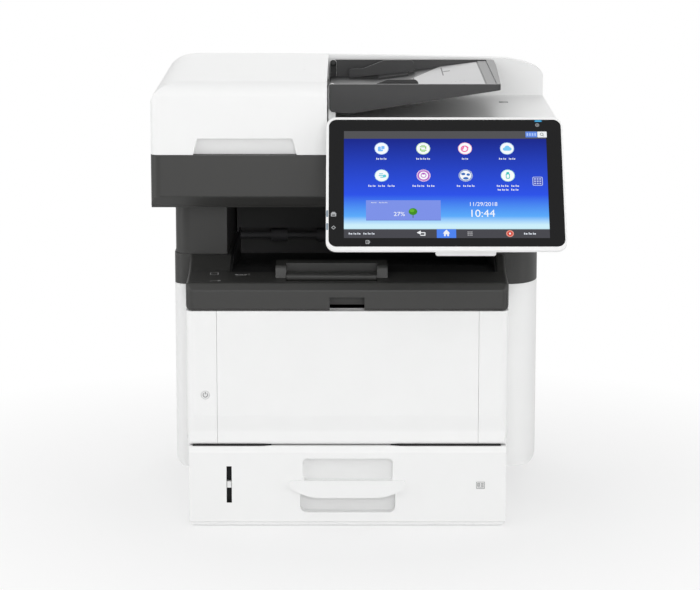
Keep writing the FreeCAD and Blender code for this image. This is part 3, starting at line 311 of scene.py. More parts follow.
def clearGlass():
    mat = bpy.data.materials.new("clearGlass")
    mat.use_nodes = True
    tree = mat.node_tree
    shader = tree.nodes["Principled BSDF"]
    shader.inputs["Transmission Weight"].default_value = 1.0
    shader.inputs["IOR"].default_value = 1.5
    shader.inputs["Roughness"].default_value = 0.02
    grain = tree.nodes.new("ShaderNodeGroup")
    grain.node_tree = mouldGrain
    grain.inputs["Colour"].default_value = (0.93, 0.97, 0.95, 1)
    grain.inputs["Scale"].default_value = 60.0
    grain.inputs["Mottle"].default_value = 0.02
    tree.links.new(grain.outputs["Colour"], shader.inputs["Base Color"])
    return mat


def blackGlass():
    mat = plastic("blackGlass", (0.004, 0.004, 0.0045), 0.06, 300.0, 0.05, 0.0)
    mat.node_tree.nodes["Principled BSDF"].inputs["Specular IOR Level"].default_value = 0.34
    return mat


slotMaterials = {
    "white_shell": whitePlastic, "black_shell": blackPlastic, "grey_tray": trayPlastic,
    "inner_plastic": darkPlastic, "natural_plastic": naturalPlastic, "green_part": greenPlastic,
    "steel": plateSteel, "rubber": footRubber, "roller_rubber": rollerRubber, "drum_coat": drumCoat,
    "board": boardGreen, "glass": clearGlass(), "panel_glass": blackGlass(), "screen": blackGlass(),
    "foam": foamSheet, "button": buttonPlastic, "indicator": whitePlastic,
}


def paint(node, mat):
    obj = nodes[node]
    obj.data.materials.clear()
    obj.data.materials.append(mat)


print("stage: finishes of the carried-over pieces")
for part in frame["record"]["subparts"]:
    paint(part["node"], slotMaterials[part["material_slot"]])
paint("carriage_rod", rodSteel)

print("stage: touch panel picture")

tilt = {"lean": 38.9, "foot": (0.0, -0.2485, 0.3398)}
leanSin = math.sin(math.radians(tilt["lean"]))
leanCos = math.cos(math.radians(tilt["lean"]))
ontoPanel = Matrix(((1, 0, 0, tilt["foot"][0]), (0, leanSin, -leanCos, tilt["foot"][1]),
                    (0, leanCos, leanSin, tilt["foot"][2]), (0, 0, 0, 1)))


def spot(x, along, lift=0.0):
    return Matrix.Translation((x / 1000, along / 1000, (lift - 0.2) / 1000))


def keep(name, bm, body, mats, place=None, smooth=False):
    # one new piece: mesh in row frame, object at the origin, riding on a body
    if place is not None:
        bm.transform(place)
    mesh = bpy.data.meshes.new(name)
    bm.to_mesh(mesh)
    bm.free()
    for face in mesh.polygons:
        face.use_smooth = smooth
    for mat in mats:
        mesh.materials.append(mat)
    obj = bpy.data.objects.new(name, mesh)
    bpy.context.scene.collection.objects.link(obj)
    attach(obj, body)
    return obj


def stamp(bm, shape, index):
    # adds a finished shape in one material
    for face in shape.faces:
        face.material_index = index
    mesh = bpy.data.meshes.new("stamp")
    shape.to_mesh(mesh)
    shape.free()
    bm.from_mesh(mesh)
    bpy.data.meshes.remove(mesh)


def disc(bm, x, along, radius, lift, index, segments=32, squash=1.0, turn=0.0):
    shape = bmesh.new()
    bmesh.ops.create_circle(shape, cap_ends=True, segments=segments, radius=radius / 1000,
                            matrix=spot(x, along, lift) @ Matrix.Rotation(math.radians(turn), 4, "Z")
                            @ Matrix.Diagonal((1, squash, 1, 1)))
    stamp(bm, shape, index)


def tile(bm, x, along, width, height, lift, index, corner=0.0, turn=0.0):
    shape = bmesh.new()
    bmesh.ops.create_grid(shape, x_segments=1, y_segments=1, size=0.0005,
                          matrix=spot(x, along, lift) @ Matrix.Rotation(math.radians(turn), 4, "Z")
                          @ Matrix.Diagonal((width, height, 1, 1)))
    if corner > 0:
        bmesh.ops.bevel(shape, geom=shape.verts[:], offset=corner / 1000, offset_type="OFFSET", segments=4,
                        profile=0.5, affect="VERTICES", material=-1)
    stamp(bm, shape, index)


def ring(bm, x, along, radius, line, lift, index, segments=32):
    shape = bmesh.new()
    bmesh.ops.create_circle(shape, cap_ends=True, segments=segments, radius=radius / 1000,
                            matrix=spot(x, along, lift))
    middle = shape.faces[:]
    bmesh.ops.inset_region(shape, faces=middle, thickness=line / 1000, use_even_offset=True,
                           use_boundary=True)
    bmesh.ops.delete(shape, geom=middle, context="FACES_ONLY")
    stamp(bm, shape, index)


def glow(name, colour, strength=1.0):
    # lit colour: a weak mottle keeps it from looking printed flat
    mat = bpy.data.materials.new(name)
    mat.use_nodes = True
    tree = mat.node_tree
    shader = tree.nodes["Principled BSDF"]
    grain = tree.nodes.new("ShaderNodeGroup")
    grain.node_tree = mouldGrain
    grain.inputs["Colour"].default_value = (*colour, 1)
    grain.inputs["Scale"].default_value = 300.0
    grain.inputs["Mottle"].default_value = 0.04
    grain.inputs["Rough"].default_value = 0.2
    tree.links.new(grain.outputs["Colour"], shader.inputs["Emission Color"])
    tree.links.new(grain.outputs["Roughness"], shader.inputs["Roughness"])
    shader.inputs["Base Color"].default_value = (0.002, 0.002, 0.003, 1)
    shader.inputs["Specular IOR Level"].default_value = 0.15
    shader.inputs["Emission Strength"].default_value = strength
    return mat


def skyMaterial(stops):
    mat = bpy.data.materials.new("screenSky")
    mat.use_nodes = True
    tree = mat.node_tree
    shader = tree.nodes["Principled BSDF"]
    chart = tree.nodes.new("ShaderNodeUVMap")
    chart.uv_map = "screenUV"
    split = tree.nodes.new("ShaderNodeSeparateXYZ")
    ramp = tree.nodes.new("ShaderNodeValToRGB")
    ramp.color_ramp.interpolation = "LINEAR"
    elements = ramp.color_ramp.elements
    elements[0].position, elements[0].color = stops[0][0], (*stops[0][1], 1)
    elements[1].position, elements[1].color = stops[-1][0], (*stops[-1][1], 1)
    for place, colour in stops[1:-1]:
        elements.new(place).color = (*colour, 1)
    tree.links.new(chart.outputs["UV"], split.inputs["Vector"])
    tree.links.new(split.outputs["Y"], ramp.inputs["Fac"])
    fine = tree.nodes.new("ShaderNodeTexWave")       # rows of the display
    fine.inputs["Scale"].default_value = 90.0
    fine.bands_direction = "Y"
    tree.links.new(chart.outputs["UV"], fine.inputs["Vector"])
    rows = tree.nodes.new("ShaderNodeMapRange")
    rows.inputs["To Min"].default_value = 0.97
    rows.inputs["To Max"].default_value = 1.03
    tree.links.new(fine.outputs["Fac"], rows.inputs["Value"])
    tint = tree.nodes.new("ShaderNodeVectorMath")
    tint.operation = "SCALE"
    tree.links.new(ramp.outputs["Color"], tint.inputs[0])
    tree.links.new(rows.outputs["Result"], tint.inputs["Scale"])
    tree.links.new(tint.outputs["Vector"], shader.inputs["Emission Color"])
    shader.inputs["Emission Strength"].default_value = 1.0
    shader.inputs["Base Color"].default_value = (0.002, 0.002, 0.003, 1)
    shader.inputs["Roughness"].default_value = 0.25
    shader.inputs["Specular IOR Level"].default_value = 0.15
    return mat


sky = {"x": (-13.6, 212.0), "along": (15.8, 153.0), "lift": 0.05, "bar": (0.06, 0.06, 0.07),
       "horizon": (0.6, 0.85, 0.95), "day": (0.1, 0.4, 0.95), "evening": (0.02, 0.08, 0.8),
       "night": (0.004, 0.015, 0.25), "head": (0.08, 0.08, 0.085), "barTop": 0.08, "headFoot": 0.93}


def skyStops():
    # dark bars below and above, a dawn between them that falls off to night
    step = 0.004      # the bars end almost sharply
    return [(0.0, sky["bar"]), (sky["barTop"], sky["bar"]), (sky["barTop"] + step, sky["horizon"]),
            (0.12, sky["horizon"]), (0.2, sky["day"]), (0.4, sky["evening"]),
            (sky["headFoot"] - step, sky["night"]), (sky["headFoot"], sky["head"]), (1.0, sky["head"])]


def makeSky():
    bm = bmesh.new()
    bm.loops.layers.uv.new("screenUV")
    x0, x1 = sky["x"]
    a0, a1 = sky["along"]
    bmesh.ops.create_grid(bm, x_segments=8, y_segments=8, size=0.0005, calc_uvs=True,
                          matrix=spot((x0 + x1) / 2, (a0 + a1) / 2, sky["lift"])
                          @ Matrix.Diagonal((x1 - x0, a1 - a0, 1, 1)))
    keep("screen_sky", bm, "panel", [skyMaterial(skyStops())], ontoPanel)


makeSky()

appIcons = {"rows": (130.3, 95.3), "columns": (28.2, 74.6, 121.2, 168.0), "radius": 7.8, "lift": 0.09,
            "edge": [(0.20, 0.50, 0.95), (0.25, 0.60, 0.12), (0.85, 0.12, 0.35), (0.20, 0.60, 0.90),
                     (0.10, 0.60, 0.70), (0.45, 0.10, 0.55), (0.05, 0.16, 0.50), (0.02, 0.55, 0.50)]}


def glyph(bm, kind, x, along, lift, index):
    if kind == 0:        # sheet over sheet
        tile(bm, x - 1.2, along - 0.6, 5.6, 6.2, lift, index, 1.0)
        tile(bm, x + 1.6, along + 1.2, 4.8, 5.2, lift + 0.015, 8, 0.9)
        tile(bm, x + 1.6, along + 1.2, 3.6, 4.0, lift + 0.03, index, 0.6)
    elif kind == 1:      # two arrows about a line
        for side in (-1, 1):
            tile(bm, x, along + side * 2.2, 7.4, 1.3, lift, index, 0.3)
            tile(bm, x + side * 2.8, along + side * 1.0, 1.3, 3.0, lift, index, 0.3)
            tile(bm, x, along + side * 4.0, 4.6, 0.9, lift, index, 0.3)
    elif kind == 2:      # handset
        ring(bm, x - 0.6, along - 0.4, 4.2, 1.3, lift, index)
        tile(bm, x + 2.0, along + 2.2, 4.4, 1.5, lift + 0.015, index, 0.5, -38)
        tile(bm, x - 2.2, along + 0.4, 1.5, 4.2, lift + 0.015, index, 0.5, -20)
    elif kind == 3:      # cloud
        for dx, da, r in ((-2.6, -0.8, 2.1), (0.2, 0.8, 3.0), (2.9, -0.6, 2.2)):
            disc(bm, x + dx, along + da, r, lift, index, 24)
        tile(bm, x, along - 1.9, 7.2, 2.0, lift, index, 0.9)
    elif kind == 4:      # quick lines with a head
        for i, width in enumerate((4.4, 6.6, 4.0)):
            tile(bm, x - 0.6 + i * 0.5, along + 2.2 - i * 2.2, width, 1.1, lift, index, 0.4)
        disc(bm, x + 3.2, along - 0.6, 1.9, lift, index, 20)
    elif kind == 5:      # drum of records
        disc(bm, x, along, 5.4, lift, 8)
        ring(bm, x, along, 6.8, 1.7, lift + 0.01, index)
        ring(bm, x, along + 0.3, 3.2, 0.9, lift + 0.02, index)
        tile(bm, x, along + 2.4, 2.8, 2.4, lift + 0.03, index, 0.5)
    elif kind == 6:      # globe
        ring(bm, x, along, 6.9, 0.7, lift, index)
        disc(bm, x - 2.6, along + 2.0, 2.4, lift + 0.01, index, 16, 0.7)
        disc(bm, x + 3.0, along + 1.2, 2.0, lift + 0.01, index, 16, 0.8)
        disc(bm, x + 0.2, along - 3.6, 3.1, lift + 0.01, index, 16, 0.55)
    else:                # memory stick
        tile(bm, x, along - 0.6, 4.6, 7.0, lift, index, 1.4)
        tile(bm, x, along + 3.6, 3.0, 1.9, lift, index, 0.3)
        tile(bm, x, along - 0.8, 2.8, 4.4, lift + 0.02, 8, 0.8)


def makeAppIcons():
    # eight round buttons with a drawn sign each; their unlettered caption strips are drawn by makeCaptions
    bm = bmesh.new()
    look = appIcons
    mats = [glow("iconTint%d" % i, colour) for i, colour in enumerate(look["edge"])]
    mats.append(glow("iconWhite", (0.94, 0.96, 0.98)))
    for i in range(8):
        x = look["columns"][i % 4]
        along = look["rows"][i // 4]
        disc(bm, x, along, look["radius"], look["lift"], 8, 40)
        ring(bm, x, along, look["radius"] - 0.15, 0.45, look["lift"] + 0.01, i, 40)
        glyph(bm, i, x, along, look["lift"] + 0.02, i)
    keep("screen_icons", bm, "panel", mats, ontoPanel)


makeAppIcons()

captions = {"drop": 13.2, "height": 2.3, "swell": 1.5, "lift": 0.06, "second": (168.0, 77.2),
            "pane": (25.6, 60.6), "status": (6.0, 21.4), "stop": (190.5, 21.4), "words": (
    # widths of the little strokes that stand for each caption
    (2.6, 2.4, 2.6), (2.6, 2.2, 2.6, 2.6), (2.4, 2.4), (3.0, 2.6, 0, 2.4, 2.6),
    (3.0, 2.6, 0, 2.4, 2.8, 0, 2.6, 2.8), (3.4, 2.8, 2.6, 0, 2.8, 3.0), (3.2, 0, 2.8, 3.2, 2.4),
    (3.0, 2.8, 3.0, 0, 2.8, 3.2))}


def strokes(bm, x, along, widths, height, lift, index, wobble):
    widths = [w * captions["swell"] for w in widths]
    total = sum(w if w else 1.6 for w in widths) + 0.35 * len(widths)
    left = x - total / 2
    for width in widths:
        if width:
            rise = wobble.uniform(-0.15, 0.25)
            tile(bm, left + width * 0.20, along + rise / 2, width * 0.22, height + rise, lift, index, 0.1)
            tile(bm, left + width * 0.66, along - height * 0.16, width * 0.42, height * 0.64, lift, index,
                 0.3)
        left += (width if width else 1.6) + 0.35


def makeCaptions():
    bm = bmesh.new()
    wobble = random.Random(7)
    for i, words in enumerate(captions["words"]):
        x = appIcons["columns"][i % 4]
        along = appIcons["rows"][i // 4] - captions["drop"]
        strokes(bm, x, along, words, captions["height"], captions["lift"], 0, wobble)
    strokes(bm, *captions["second"], (3.0, 2.6, 2.4, 0, 3.0, 2.6), captions["height"], captions["lift"], 0,
            wobble)
    strokes(bm, *captions["pane"], (2.2, 1.8, 0, 2.2, 2.0, 1.8), 1.2, 0.09, 0, wobble)
    strokes(bm, *captions["status"], (3.4, 2.6, 2.8, 0, 3.0, 2.6, 2.6), 2.2, 0.07, 0, wobble)
    strokes(bm, *captions["stop"], (3.2, 2.8, 2.8), 2.4, 0.07, 0, wobble)
    keep("screen_captions", bm, "panel", [glow("captionWhite", (0.80, 0.84, 0.92))], ontoPanel)


makeCaptions()

widget = {"box": (10.7, 93.0, 38.0, 63.6), "tree": (62.4, 47.6), "lift": 0.07}


def makeWidget():
    # pale pane with a little round tree on it
    bm = bmesh.new()
    x0, x1, a0, a1 = widget["box"]
    lift = widget["lift"]
    tile(bm, (x0 + x1) / 2, (a0 + a1) / 2, x1 - x0, a1 - a0, lift, 0)
    tile(bm, (x0 + x1) / 2, a0 + 0.2, x1 - x0, 0.5, lift + 0.01, 3)
    tx, ta = widget["tree"]
    tile(bm, tx, ta - 3.4, 0.9, 6.0, lift + 0.02, 2, 0.2)
    disc(bm, tx, ta + 1.6, 4.8, lift + 0.03, 1, 28, 0.92)
    disc(bm, tx - 1.0, ta + 2.9, 2.6, lift + 0.04, 4, 20, 0.8)
    mats = [glow("paneBlue", (0.20, 0.28, 0.80)), glow("treeGreen", (0.05, 0.26, 0.01)),
            glow("treeTrunk", (0.07, 0.14, 0.02)), glow("paneEdge", (0.10, 0.14, 0.45)),
            glow("treeLight", (0.12, 0.45, 0.02))]
    keep("screen_widget", bm, "panel", mats, ontoPanel)


makeWidget()

clock = {"text": "10:44", "small": "11/29/2018", "place": (124.0, 42.6), "tall": 9.4, "date": (124.0, 56.4),
         "share": "27%", "sharePlace": (41.0, 43.6)}


def digits(bm, text, x, along, tall, lift):
    # figures of the built-in face, turned into a flat mesh
    curve = bpy.data.curves.new("figures", "FONT")
    curve.body = text
    curve.size = tall / 1000 / 0.72
    carrier = bpy.data.objects.new("figures", curve)
    bpy.context.scene.collection.objects.link(carrier)
    bpy.context.view_layer.update()
    mesh = bpy.data.meshes.new_from_object(carrier.evaluated_get(bpy.context.evaluated_depsgraph_get()))
    mesh.transform(spot(x, along, lift))
    bm.from_mesh(mesh)
    bpy.data.objects.remove(carrier)
    bpy.data.curves.remove(curve)
    bpy.data.meshes.remove(mesh)


def makeClock():
    bm = bmesh.new()
    digits(bm, clock["text"], *clock["place"], clock["tall"], 0.08)
    digits(bm, clock["small"], *clock["date"], 5.0, 0.08)
    digits(bm, clock["share"], *clock["sharePlace"], 5.4, 0.09)
    keep("screen_clock", bm, "panel", [glow("clockWhite", (0.90, 0.93, 0.98))], ontoPanel)


makeClock()

bar = {"along": 21.4, "home": (98.8, 21.2), "back": 72.0, "menu": 124.6, "stop": 168.4, "lift": 0.07}


def makeBars():
    # signs of the lower bar, the two boxes of the upper one and the page sign at the right
    bm = bmesh.new()
    a = bar["along"]
    lift = bar["lift"]
    tile(bm, bar["home"][0], a, bar["home"][1], 11.0, lift, 1)
    tile(bm, bar["home"][0], a - 1.0, 5.4, 4.4, lift + 0.02, 0)
    disc(bm, bar["home"][0], a + 1.8, 4.6, lift + 0.02, 0, 3, 0.72)
    tile(bm, bar["home"][0], a - 2.0, 1.6, 2.4, lift + 0.03, 1)
    tile(bm, bar["back"] + 0.4, a + 1.2, 5.4, 1.1, lift, 0)
    tile(bm, bar["back"] + 0.6, a - 2.2, 4.6, 1.1, lift, 0)
    tile(bm, bar["back"] + 3.2, a - 0.5, 1.1, 4.4, lift, 0, 0.5)
    disc(bm, bar["back"] - 2.8, a + 1.2, 3.0, lift, 0, 3, 1.0, 90)
    for i in range(3):
        for j in range(3):
            tile(bm, bar["menu"] - 2.0 + 2.0 * i, a + 2.0 - 2.0 * j, 1.3, 1.3, lift, 3, 0.3)
    disc(bm, bar["stop"], a, 4.2, lift, 2, 28)
    disc(bm, bar["stop"], a, 3.0, lift + 0.02, 4, 28)
    tile(bm, bar["stop"], a, 2.2, 2.2, lift + 0.03, 0)
    tile(bm, 195.6, 148.6, 13.0, 7.6, lift, 5, 0.6)       # joined sheets, upper right
    for i in range(4):
        tile(bm, 191.2 + i * 2.9, 148.6, 1.7, 3.6, lift + 0.02, 6, 0.3)
    tile(bm, 207.6, 148.6, 10.4, 7.6, lift, 0, 0.6)
    ring(bm, 207.2, 148.9, 2.0, 0.7, lift + 0.02, 7, 20)
    tile(bm, 209.0, 146.9, 2.2, 0.7, lift + 0.02, 7, 0.2, -45)
    tile(bm, 200.8, 88.0, 11.4, 11.4, lift, 8, 1.6)       # page of small buttons
    tile(bm, 200.8, 88.0, 9.8, 9.8, lift + 0.02, 9, 1.2)
    for i in range(3):
        for j in range(3):
            tile(bm, 197.9 + 2.9 * i, 85.1 + 2.9 * j, 2.0, 1.7, lift + 0.03, 8, 0.2)
    mats = [glow("barWhite", (0.86, 0.88, 0.90)), glow("homeBlue", (0.07, 0.22, 0.85)),
            glow("stopPale", (0.80, 0.30, 0.24)), glow("menuGrey", (0.42, 0.42, 0.44)),
            glow("stopRed", (0.62, 0.04, 0.02)), glow("sheetBlue", (0.12, 0.25, 0.75)),
            glow("sheetPale", (0.40, 0.55, 0.95)), glow("lensGrey", (0.20, 0.22, 0.20)),
            glow("pageLine", (0.48, 0.56, 0.90)), glow("pageDark", (0.035, 0.05, 0.45))]
    keep("screen_bars", bm, "panel", mats, ontoPanel)


makeBars()

rimMarks = {"wide": (203.8, 166.3), "sign": (202.6, 161.0), "left": ((45.4, 0), (29.0, 1)),
            "tag": (12.8, 10.8)}


def makeRimMarks():
    # lamps of the black border, and its printed signs and unlit lamp windows given a painted glow as though
    # lit
    bm = bmesh.new()
    tile(bm, *rimMarks["wide"], 8.6, 2.4, 0.05, 0, 0.9)
    tile(bm, *rimMarks["wide"], 6.8, 1.2, 0.07, 1, 0.5)
    sx, sa = rimMarks["sign"]
    ring(bm, sx, sa, 2.2, 0.7, 0.05, 2, 24)
    tile(bm, sx, sa, 1.3, 1.6, 0.06, 2, 0.3)
    for along, kind in rimMarks["left"]:
        tile(bm, -32.0, along + 1.0, 2.2, 8.6, 0.26, 3, 0.9)
        if kind == 0:
            tile(bm, -25.0, along, 5.8, 4.6, 0.05, 4, 0.8)
            tile(bm, -25.0, along + 1.8, 3.6, 3.2, 0.06, 4, 0.4)
            tile(bm, -25.0, along - 0.6, 3.4, 1.4, 0.07, 5, 0.2)
        else:
            tile(bm, -25.0, along, 3.6, 3.6, 0.05, 4, 0.3, 45)
            tile(bm, -25.0, along, 2.2, 2.2, 0.07, 5, 0.2, 45)
    tx, ta = rimMarks["tag"]
    tile(bm, tx - 0.6, ta, 4.0, 4.8, 0.05, 4, 0.7)
    tile(bm, tx - 0.6, ta, 2.6, 3.4, 0.06, 5, 0.4)
    ring(bm, tx + 0.8, ta, 1.5, 0.5, 0.07, 4, 20)
    mats = [glow("lampBlue", (0.02, 0.20, 0.42)), glow("lampCore", (0.10, 0.55, 0.85)),
            glow("signGreyGlow", (0.34, 0.35, 0.36)), glow("lampOff", (0.24, 0.30, 0.36)),
            glow("signPaleGlow", (0.42, 0.43, 0.44)), glow("signBackGlow", (0.03, 0.03, 0.03))]
    keep("panel_marks", bm, "panel", mats, ontoPanel)


makeRimMarks()

print("stage: signs and small fittings of the covers")

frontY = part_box("top_cover")[0][1]       # front plane of the machine, where depths start


def facing(y):
    # drawing plane of a front face: x across, along upwards, lift towards the viewer
    return Matrix(((1, 0, 0, 0), (0, 0, -1, y - 0.0002), (0, 1, 0, 0), (0, 0, 0, 1)))


printGrey = plastic("printGrey", (0.16, 0.16, 0.165), 0.5, 700.0, 0.06)
printPale = plastic("printPale", (0.50, 0.50, 0.505), 0.5, 700.0, 0.06)
# near-black, used for the painted shade in the seam over the drawer and for the slot liner
pitBlack = plastic("pitBlack", (0.006, 0.006, 0.0065), 0.6, 600.0, 0.1, 0.1)
padWhite = plastic("padWhite", (0.80, 0.80, 0.80), 0.5, 700.0, 0.04)

powerSign = {"lift": 0.06, "radius": 2.5, "gap": 42.0, "line": 0.75}


def makePowerSign():
    # broken ring with a bar, spun in one sweep
    x0, x1, y0, z0, z1 = (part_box("power_button")[i][j] for i, j in ((0, 0), (1, 0), (0, 1), (0, 2), (1, 2)))
    cx = (x0 + x1) / 2
    cz = (z0 + z1) / 2
    bm = bmesh.new()
    start = math.radians(90 + powerSign["gap"])
    sweep = math.radians(360 - 2 * powerSign["gap"])
    ends = []
    for radius in (powerSign["radius"] - powerSign["line"] / 2, powerSign["radius"] + powerSign["line"] / 2):
        ends.append(bm.verts.new((cx + radius / 1000 * math.cos(start), cz + radius / 1000 * math.sin(start),
                                  powerSign["lift"] / 1000)))
    edge = bm.edges.new(ends)
    bmesh.ops.spin(bm, geom=ends + [edge], cent=(cx, cz, 0), axis=(0, 0, 1), dvec=(0, 0, 0), angle=sweep,
                   steps=28, use_duplicate=False)
    tile(bm, cx * 1000, cz * 1000 + 2.1, 0.8, 3.0, 0.2 + powerSign["lift"], 0, 0.2)
    bm.transform(Matrix(((1, 0, 0, 0), (0, 0, -1, y0), (0, 1, 0, 0), (0, 0, 0, 1))))
    keep("power_sign", bm, "power_button", [printGrey])


makePowerSign()

drawerSign = {"x": 142.9, "z": 48.6, "wide": 9.6, "high": 8.2}


def makeDrawerSign():
    # sheet-size plate of the drawer, drawn without letters
    bm = bmesh.new()
    x = drawerSign["x"]
    z = drawerSign["z"]
    wide = drawerSign["wide"]
    high = drawerSign["high"]
    lift = 0.23
    tile(bm, x, z, wide, high, lift, 0, 0.5)
    tile(bm, x, z, wide - 1.0, high - 1.0, lift + 0.01, 2, 0.4)
    tile(bm, x - 2.2, z + 0.6, 2.8, 4.2, lift + 0.02, 0, 0.2)
    tile(bm, x - 2.2, z + 0.6, 1.9, 3.3, lift + 0.03, 1, 0.1)
    for i in range(3):
        tile(bm, x + 2.0, z + 1.9 - 1.5 * i, 3.2, 0.8, lift + 0.02, 0, 0.2)
    tile(bm, x, z - 2.7, 7.0, 0.9, lift + 0.02, 1, 0.2)
    keep("drawer_sign", bm, "drawer", [printGrey, printPale, padWhite], facing(frontY))


makeDrawerSign()

slotLiner = {"x": (-148.5, -142.7), "z": (28.1, 70.9), "y": (0.25, 7.9), "skin": 0.22}


def makeSlotLiner():
    # dark channel behind the paper gauge
    bm = bmesh.new()
    x0, x1 = slotLiner["x"]
    z0, z1 = slotLiner["z"]
    y0, y1 = slotLiner["y"]
    bmesh.ops.create_cube(bm, size=0.001, matrix=Matrix.Translation(
        ((x0 + x1) / 2000, (y0 + y1) / 2000 + frontY, (z0 + z1) / 2000))
        @ Matrix.Diagonal((x1 - x0, y1 - y0, z1 - z0, 1)))
    lips = [f for f in bm.faces if f.normal.y < -0.9]
    bmesh.ops.inset_region(bm, faces=lips, thickness=slotLiner["skin"] / 1000, use_even_offset=True)
    floor = bmesh.ops.extrude_discrete_faces(bm, faces=lips)["faces"]
    bmesh.ops.translate(bm, verts=floor[0].verts[:], vec=(0, (y1 - y0 - 0.35) / 1000, 0))
    bmesh.ops.bevel(bm, geom=[e for e in bm.edges if e.calc_length() > 0.03], offset=0.00008,
                    offset_type="OFFSET", segments=2, profile=0.5, affect="EDGES", material=-1)
    keep("slot_liner", bm, "drawer", [pitBlack])


makeSlotLiner()

# painted shade in the joint over the drawer, drawn as near-black strips
seamShade = {"spans": ((-187.0, -97.0), (40.0, 166.0)), "depth": (1.6, 17.5), "z": (94.8, 96.1), "taper": 9.0}


def makeSeamShade():
    # painted shade: dark strips laid in the joint over the drawer, where its shadow falls, thinning out
    # towards the middle
    bm = bmesh.new()
    d0, d1 = seamShade["depth"]
    z0, z1 = seamShade["z"]
    for x0, x1 in seamShade["spans"]:
        shape = bmesh.new()
        bmesh.ops.create_grid(shape, x_segments=24, y_segments=2, size=0.5)
        inner = 1 if x0 < 0 else -1
        for vert in shape.verts:
            along = vert.co.x + 0.5
            x = x0 + (x1 - x0) * along
            near = (x1 - x if inner > 0 else x - x0) / seamShade["taper"]
            depthHere = d0 + (3.0 * (1 - near) if near < 1 else 0)
            vert.co = Vector((x / 1000, (depthHere + (d1 - depthHere) * (vert.co.y + 0.5)) / 1000 + frontY,
                              z0 / 1000))
        made = bmesh.ops.extrude_face_region(shape, geom=shape.faces[:])
        bmesh.ops.translate(shape, verts=[v for v in made["geom"] if isinstance(v, bmesh.types.BMVert)],
                            vec=(0, 0, (z1 - z0) / 1000))
        bmesh.ops.recalc_face_normals(shape, faces=shape.faces[:])
        stamp(bm, shape, 0)
    keep("seam_shade", bm, "machine", [pitBlack])


makeSeamShade()

deckSign = {"slope": 2.237, "lift": 0.25, "lip": (6.0, 284.0), "rise": 0.0390625, "marks": (
    # centre across, depth, then strokes: offset across, offset in depth, width, length, turn
    (-163.0, 48.0, ((0, 0, 9.0, 0.7, 0), (-4.4, 5.0, 0.7, 10.0, 0), (0, 10.0, 9.0, 0.7, 0),
                    (4.4, 5.0, 0.7, 10.0, 0))),
    (-160.0, 16.0, ((0, 0, 8.0, 0.9, 12), (4.6, 1.8, 3.4, 0.9, -40), (4.0, -0.8, 3.4, 0.9, 55),
                    (-5.0, -1.2, 3.0, 0.9, 30))),
    (-132.0, 48.0, ((-5.0, 0, 4.0, 2.2, 0), (0.2, 0, 4.4, 2.2, 0), (5.2, 0, 3.2, 2.2, 0),
                    (0, -4.0, 12.0, 0.7, 0), (9.0, 1.0, 0.7, 9.0, 0))))}


def onDeck(x, d):
    # drawing plane on the gentle fall of the deck behind the lip
    start, height = deckSign["lip"]
    z = height + (d - start) * deckSign["rise"]
    return Matrix.Translation((x / 1000, d / 1000 + frontY, z / 1000)) @ \
        Matrix.Rotation(math.radians(deckSign["slope"]), 4, "X")


def makeDeckSign():
    # drawn sheet directions at the left of the deck, no letters
    bm = bmesh.new()
    lift = deckSign["lift"]
    for x, d, shapes in deckSign["marks"]:
        part = bmesh.new()
        for dx, dd, wide, high, turn in shapes:
            tile(part, dx, dd, wide, high, lift, 0, 0.2, turn)
        part.transform(onDeck(x, d))
        stamp(bm, part, 0)
    keep("deck_sign", bm, "machine", [printPale])


makeDeckSign()

print("stage: document tray fittings")

# painted light on the document tray: a pale patch for the lit part of its floor
trayLitPatch = {"front": 70.0, "back": 334.0, "left": (-2.0, 104.0), "right": (148.6, 148.6), "thick": 0.14}
trayLitGrey = plastic("trayLitGrey", (0.50, 0.50, 0.505), 0.38, 900.0, 0.05, 0.08)
trayMark = plastic("trayMark", (0.10, 0.10, 0.102), 0.45, 900.0, 0.05, 0.08)


trayWell = {"bend": 20.0, "end": 150.0, "low": 484.0, "rim": 502.06, "creep": 0.02, "climb": 0.13231}


def trayFloor(x):
    # height of the tray's floor at a place across it
    if x >= trayWell["end"]:
        return trayWell["rim"]
    slope = trayWell["creep"] if x < trayWell["bend"] else trayWell["climb"]
    return trayWell["low"] + (x - trayWell["bend"]) * slope


def makeTrayLitPatch():
    # painted light: pale patch laid on the floor, cut off slantwise on the left, standing in for the lit
    # glossy right part of the dark tray floor
    bm = bmesh.new()
    front, back = trayLitPatch["front"], trayLitPatch["back"]
    bmesh.ops.create_grid(bm, x_segments=36, y_segments=16, size=0.5,
                          matrix=Matrix.Translation((0.5, 0.5, 0)))
    for vert in bm.verts:
        share = vert.co.y
        left = trayLitPatch["left"][0] + (trayLitPatch["left"][1] - trayLitPatch["left"][0]) * share
        right = trayLitPatch["right"][0] + (trayLitPatch["right"][1] - trayLitPatch["right"][0]) * share
        x = left + (right - left) * vert.co.x
        vert.co = Vector((x / 1000, (front + (back - front) * share) / 1000 + frontY,
                          (trayFloor(x) + 0.07) / 1000))
    made = bmesh.ops.extrude_face_region(bm, geom=bm.faces[:])
    bmesh.ops.translate(bm, verts=[v for v in made["geom"] if isinstance(v, bmesh.types.BMVert)],
                        vec=(0, 0, trayLitPatch["thick"] / 1000))
    bmesh.ops.recalc_face_normals(bm, faces=bm.faces[:])
    keep("tray_lit_patch", bm, "document_tray", [trayLitGrey])


makeTrayLitPatch()

trayRule = {"strokes": (
    # centre across, depth, width, length
    (105.0, 275.0, 1.5, 88.0), (110.2, 273.0, 8.6, 9.0),
    (69.4, 238.0, 1.5, 62.0), (65.0, 244.0, 7.6, 8.0), (70.0, 208.0, 8.0, 7.0)),
    "dots": (112.0, 150.0, 4), "apart": 5.0, "lift": 0.25}


def onTray(x, d, lift):
    # drawing plane laid on the climbing floor
    slope = math.atan(trayWell["climb"]) if x < trayWell["end"] else 0.0
    return Matrix.Translation((x / 1000, d / 1000 + frontY, (trayFloor(x) + lift) / 1000)) @ \
        Matrix.Rotation(-slope, 4, "Y") @ Matrix.Translation((0, 0, 0.0002))


